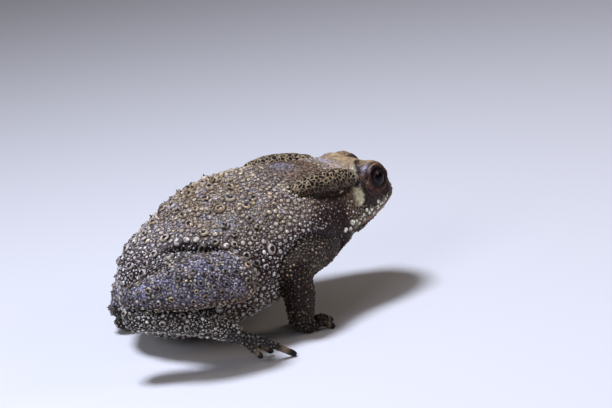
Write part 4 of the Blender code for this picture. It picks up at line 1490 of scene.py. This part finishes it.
def build_stage(colours):
    """The pale floor, the lamps, the air and the camera."""
    bm = bmesh.new()
    bmesh.ops.create_grid(bm, x_segments=1, y_segments=1, size=FLOOR_HALF)
    floor = from_bmesh("studio floor", bm)
    material, _, shader = new_material("matt paper floor", {"Roughness": 0.9})
    shader.inputs["Base Color"].default_value = (*colours.floor, 1.0)
    floor.data.materials.append(material)
    scene = bpy.context.scene
    world = bpy.data.worlds.new("studio air")
    world.use_nodes = True
    background = world.node_tree.nodes["Background"]
    background.inputs["Color"].default_value = colour(AIR_COLOUR)
    background.inputs["Strength"].default_value = AIR_STRENGTH
    scene.world = world
    aim = ORIGIN + VIEW_AIM * MM
    for lamp in LAMPS:
        add_lamp(aim, *lamp)
    data = bpy.data.cameras.new("camera")
    data.lens = LENS
    data.sensor_width = SENSOR
    data.clip_start = 0.01
    data.clip_end = 20
    camera = link_object("camera", data)
    heading, drop = math.radians(VIEW_HEADING), math.radians(VIEW_DROP)
    level = math.cos(drop)
    look = Vector((math.cos(heading) * level, math.sin(heading) * level, -math.sin(drop)))
    camera.location = aim - look * VIEW_DISTANCE * MM
    turn = look.to_track_quat("-Z", "Y").to_matrix() @ Matrix.Rotation(math.radians(VIEW_ROLL), 3, "Z")
    camera.rotation_euler = turn.to_euler()
    scene.camera = camera
    scene.view_settings.view_transform = "Standard"


class TOAD_OT_skin(bpy.types.Operator):
    """Build the toad's skin with its crests, lids, eardrums, glands and mouth"""

    bl_idname = "toad.skin"
    bl_label = "Skin"

    def execute(self, context):
        build_skin(context.scene.toad_sizes, context.scene.toad_colours)
        return {"FINISHED"}


class TOAD_OT_warts(bpy.types.Operator):
    """Set the warts and granules on the skin"""

    bl_idname = "toad.warts"
    bl_label = "Warts"

    def execute(self, context):
        build_warts(context.scene.toad_sizes, context.scene.toad_colours)
        return {"FINISHED"}


class TOAD_OT_eyes(bpy.types.Operator):
    """Build the two eyeballs"""

    bl_idname = "toad.eyes"
    bl_label = "Eyes"

    def execute(self, context):
        build_eyes(context.scene.toad_colours)
        return {"FINISHED"}


class TOAD_OT_stage(bpy.types.Operator):
    """Set up the floor, lights and camera"""

    bl_idname = "toad.stage"
    bl_label = "Stage"

    def execute(self, context):
        build_stage(context.scene.toad_colours)
        return {"FINISHED"}


class TOAD_PT_pieces(bpy.types.Panel):
    """Lists the toad's pieces and the stage"""

    bl_label = "Toad"
    bl_idname = "TOAD_PT_pieces"
    bl_space_type = "VIEW_3D"
    bl_region_type = "UI"
    bl_category = "Toad"

    def draw(self, context):
        for name in OPERATORS:
            self.layout.operator(f"toad.{name}")
        for group in (context.scene.toad_sizes, context.scene.toad_colours):
            box = self.layout.box()
            for key in group.__annotations__:
                box.prop(group, key)


OPERATORS = ("skin", "warts", "eyes", "stage")
CLASSES = (
    TOAD_PG_sizes,
    TOAD_PG_colours,
    TOAD_OT_skin,
    TOAD_OT_warts,
    TOAD_OT_eyes,
    TOAD_OT_stage,
    TOAD_PT_pieces,
)


def register():
    for cls in CLASSES:
        bpy.utils.register_class(cls)
    bpy.types.Scene.toad_sizes = bpy.props.PointerProperty(type=TOAD_PG_sizes)
    bpy.types.Scene.toad_colours = bpy.props.PointerProperty(type=TOAD_PG_colours)


def unregister():
    del bpy.types.Scene.toad_colours
    del bpy.types.Scene.toad_sizes
    for cls in reversed(CLASSES):
        bpy.utils.unregister_class(cls)


def main():
    register()
    for name in OPERATORS:
        getattr(bpy.ops.toad, name)()


if __name__ == "__main__":
    main()
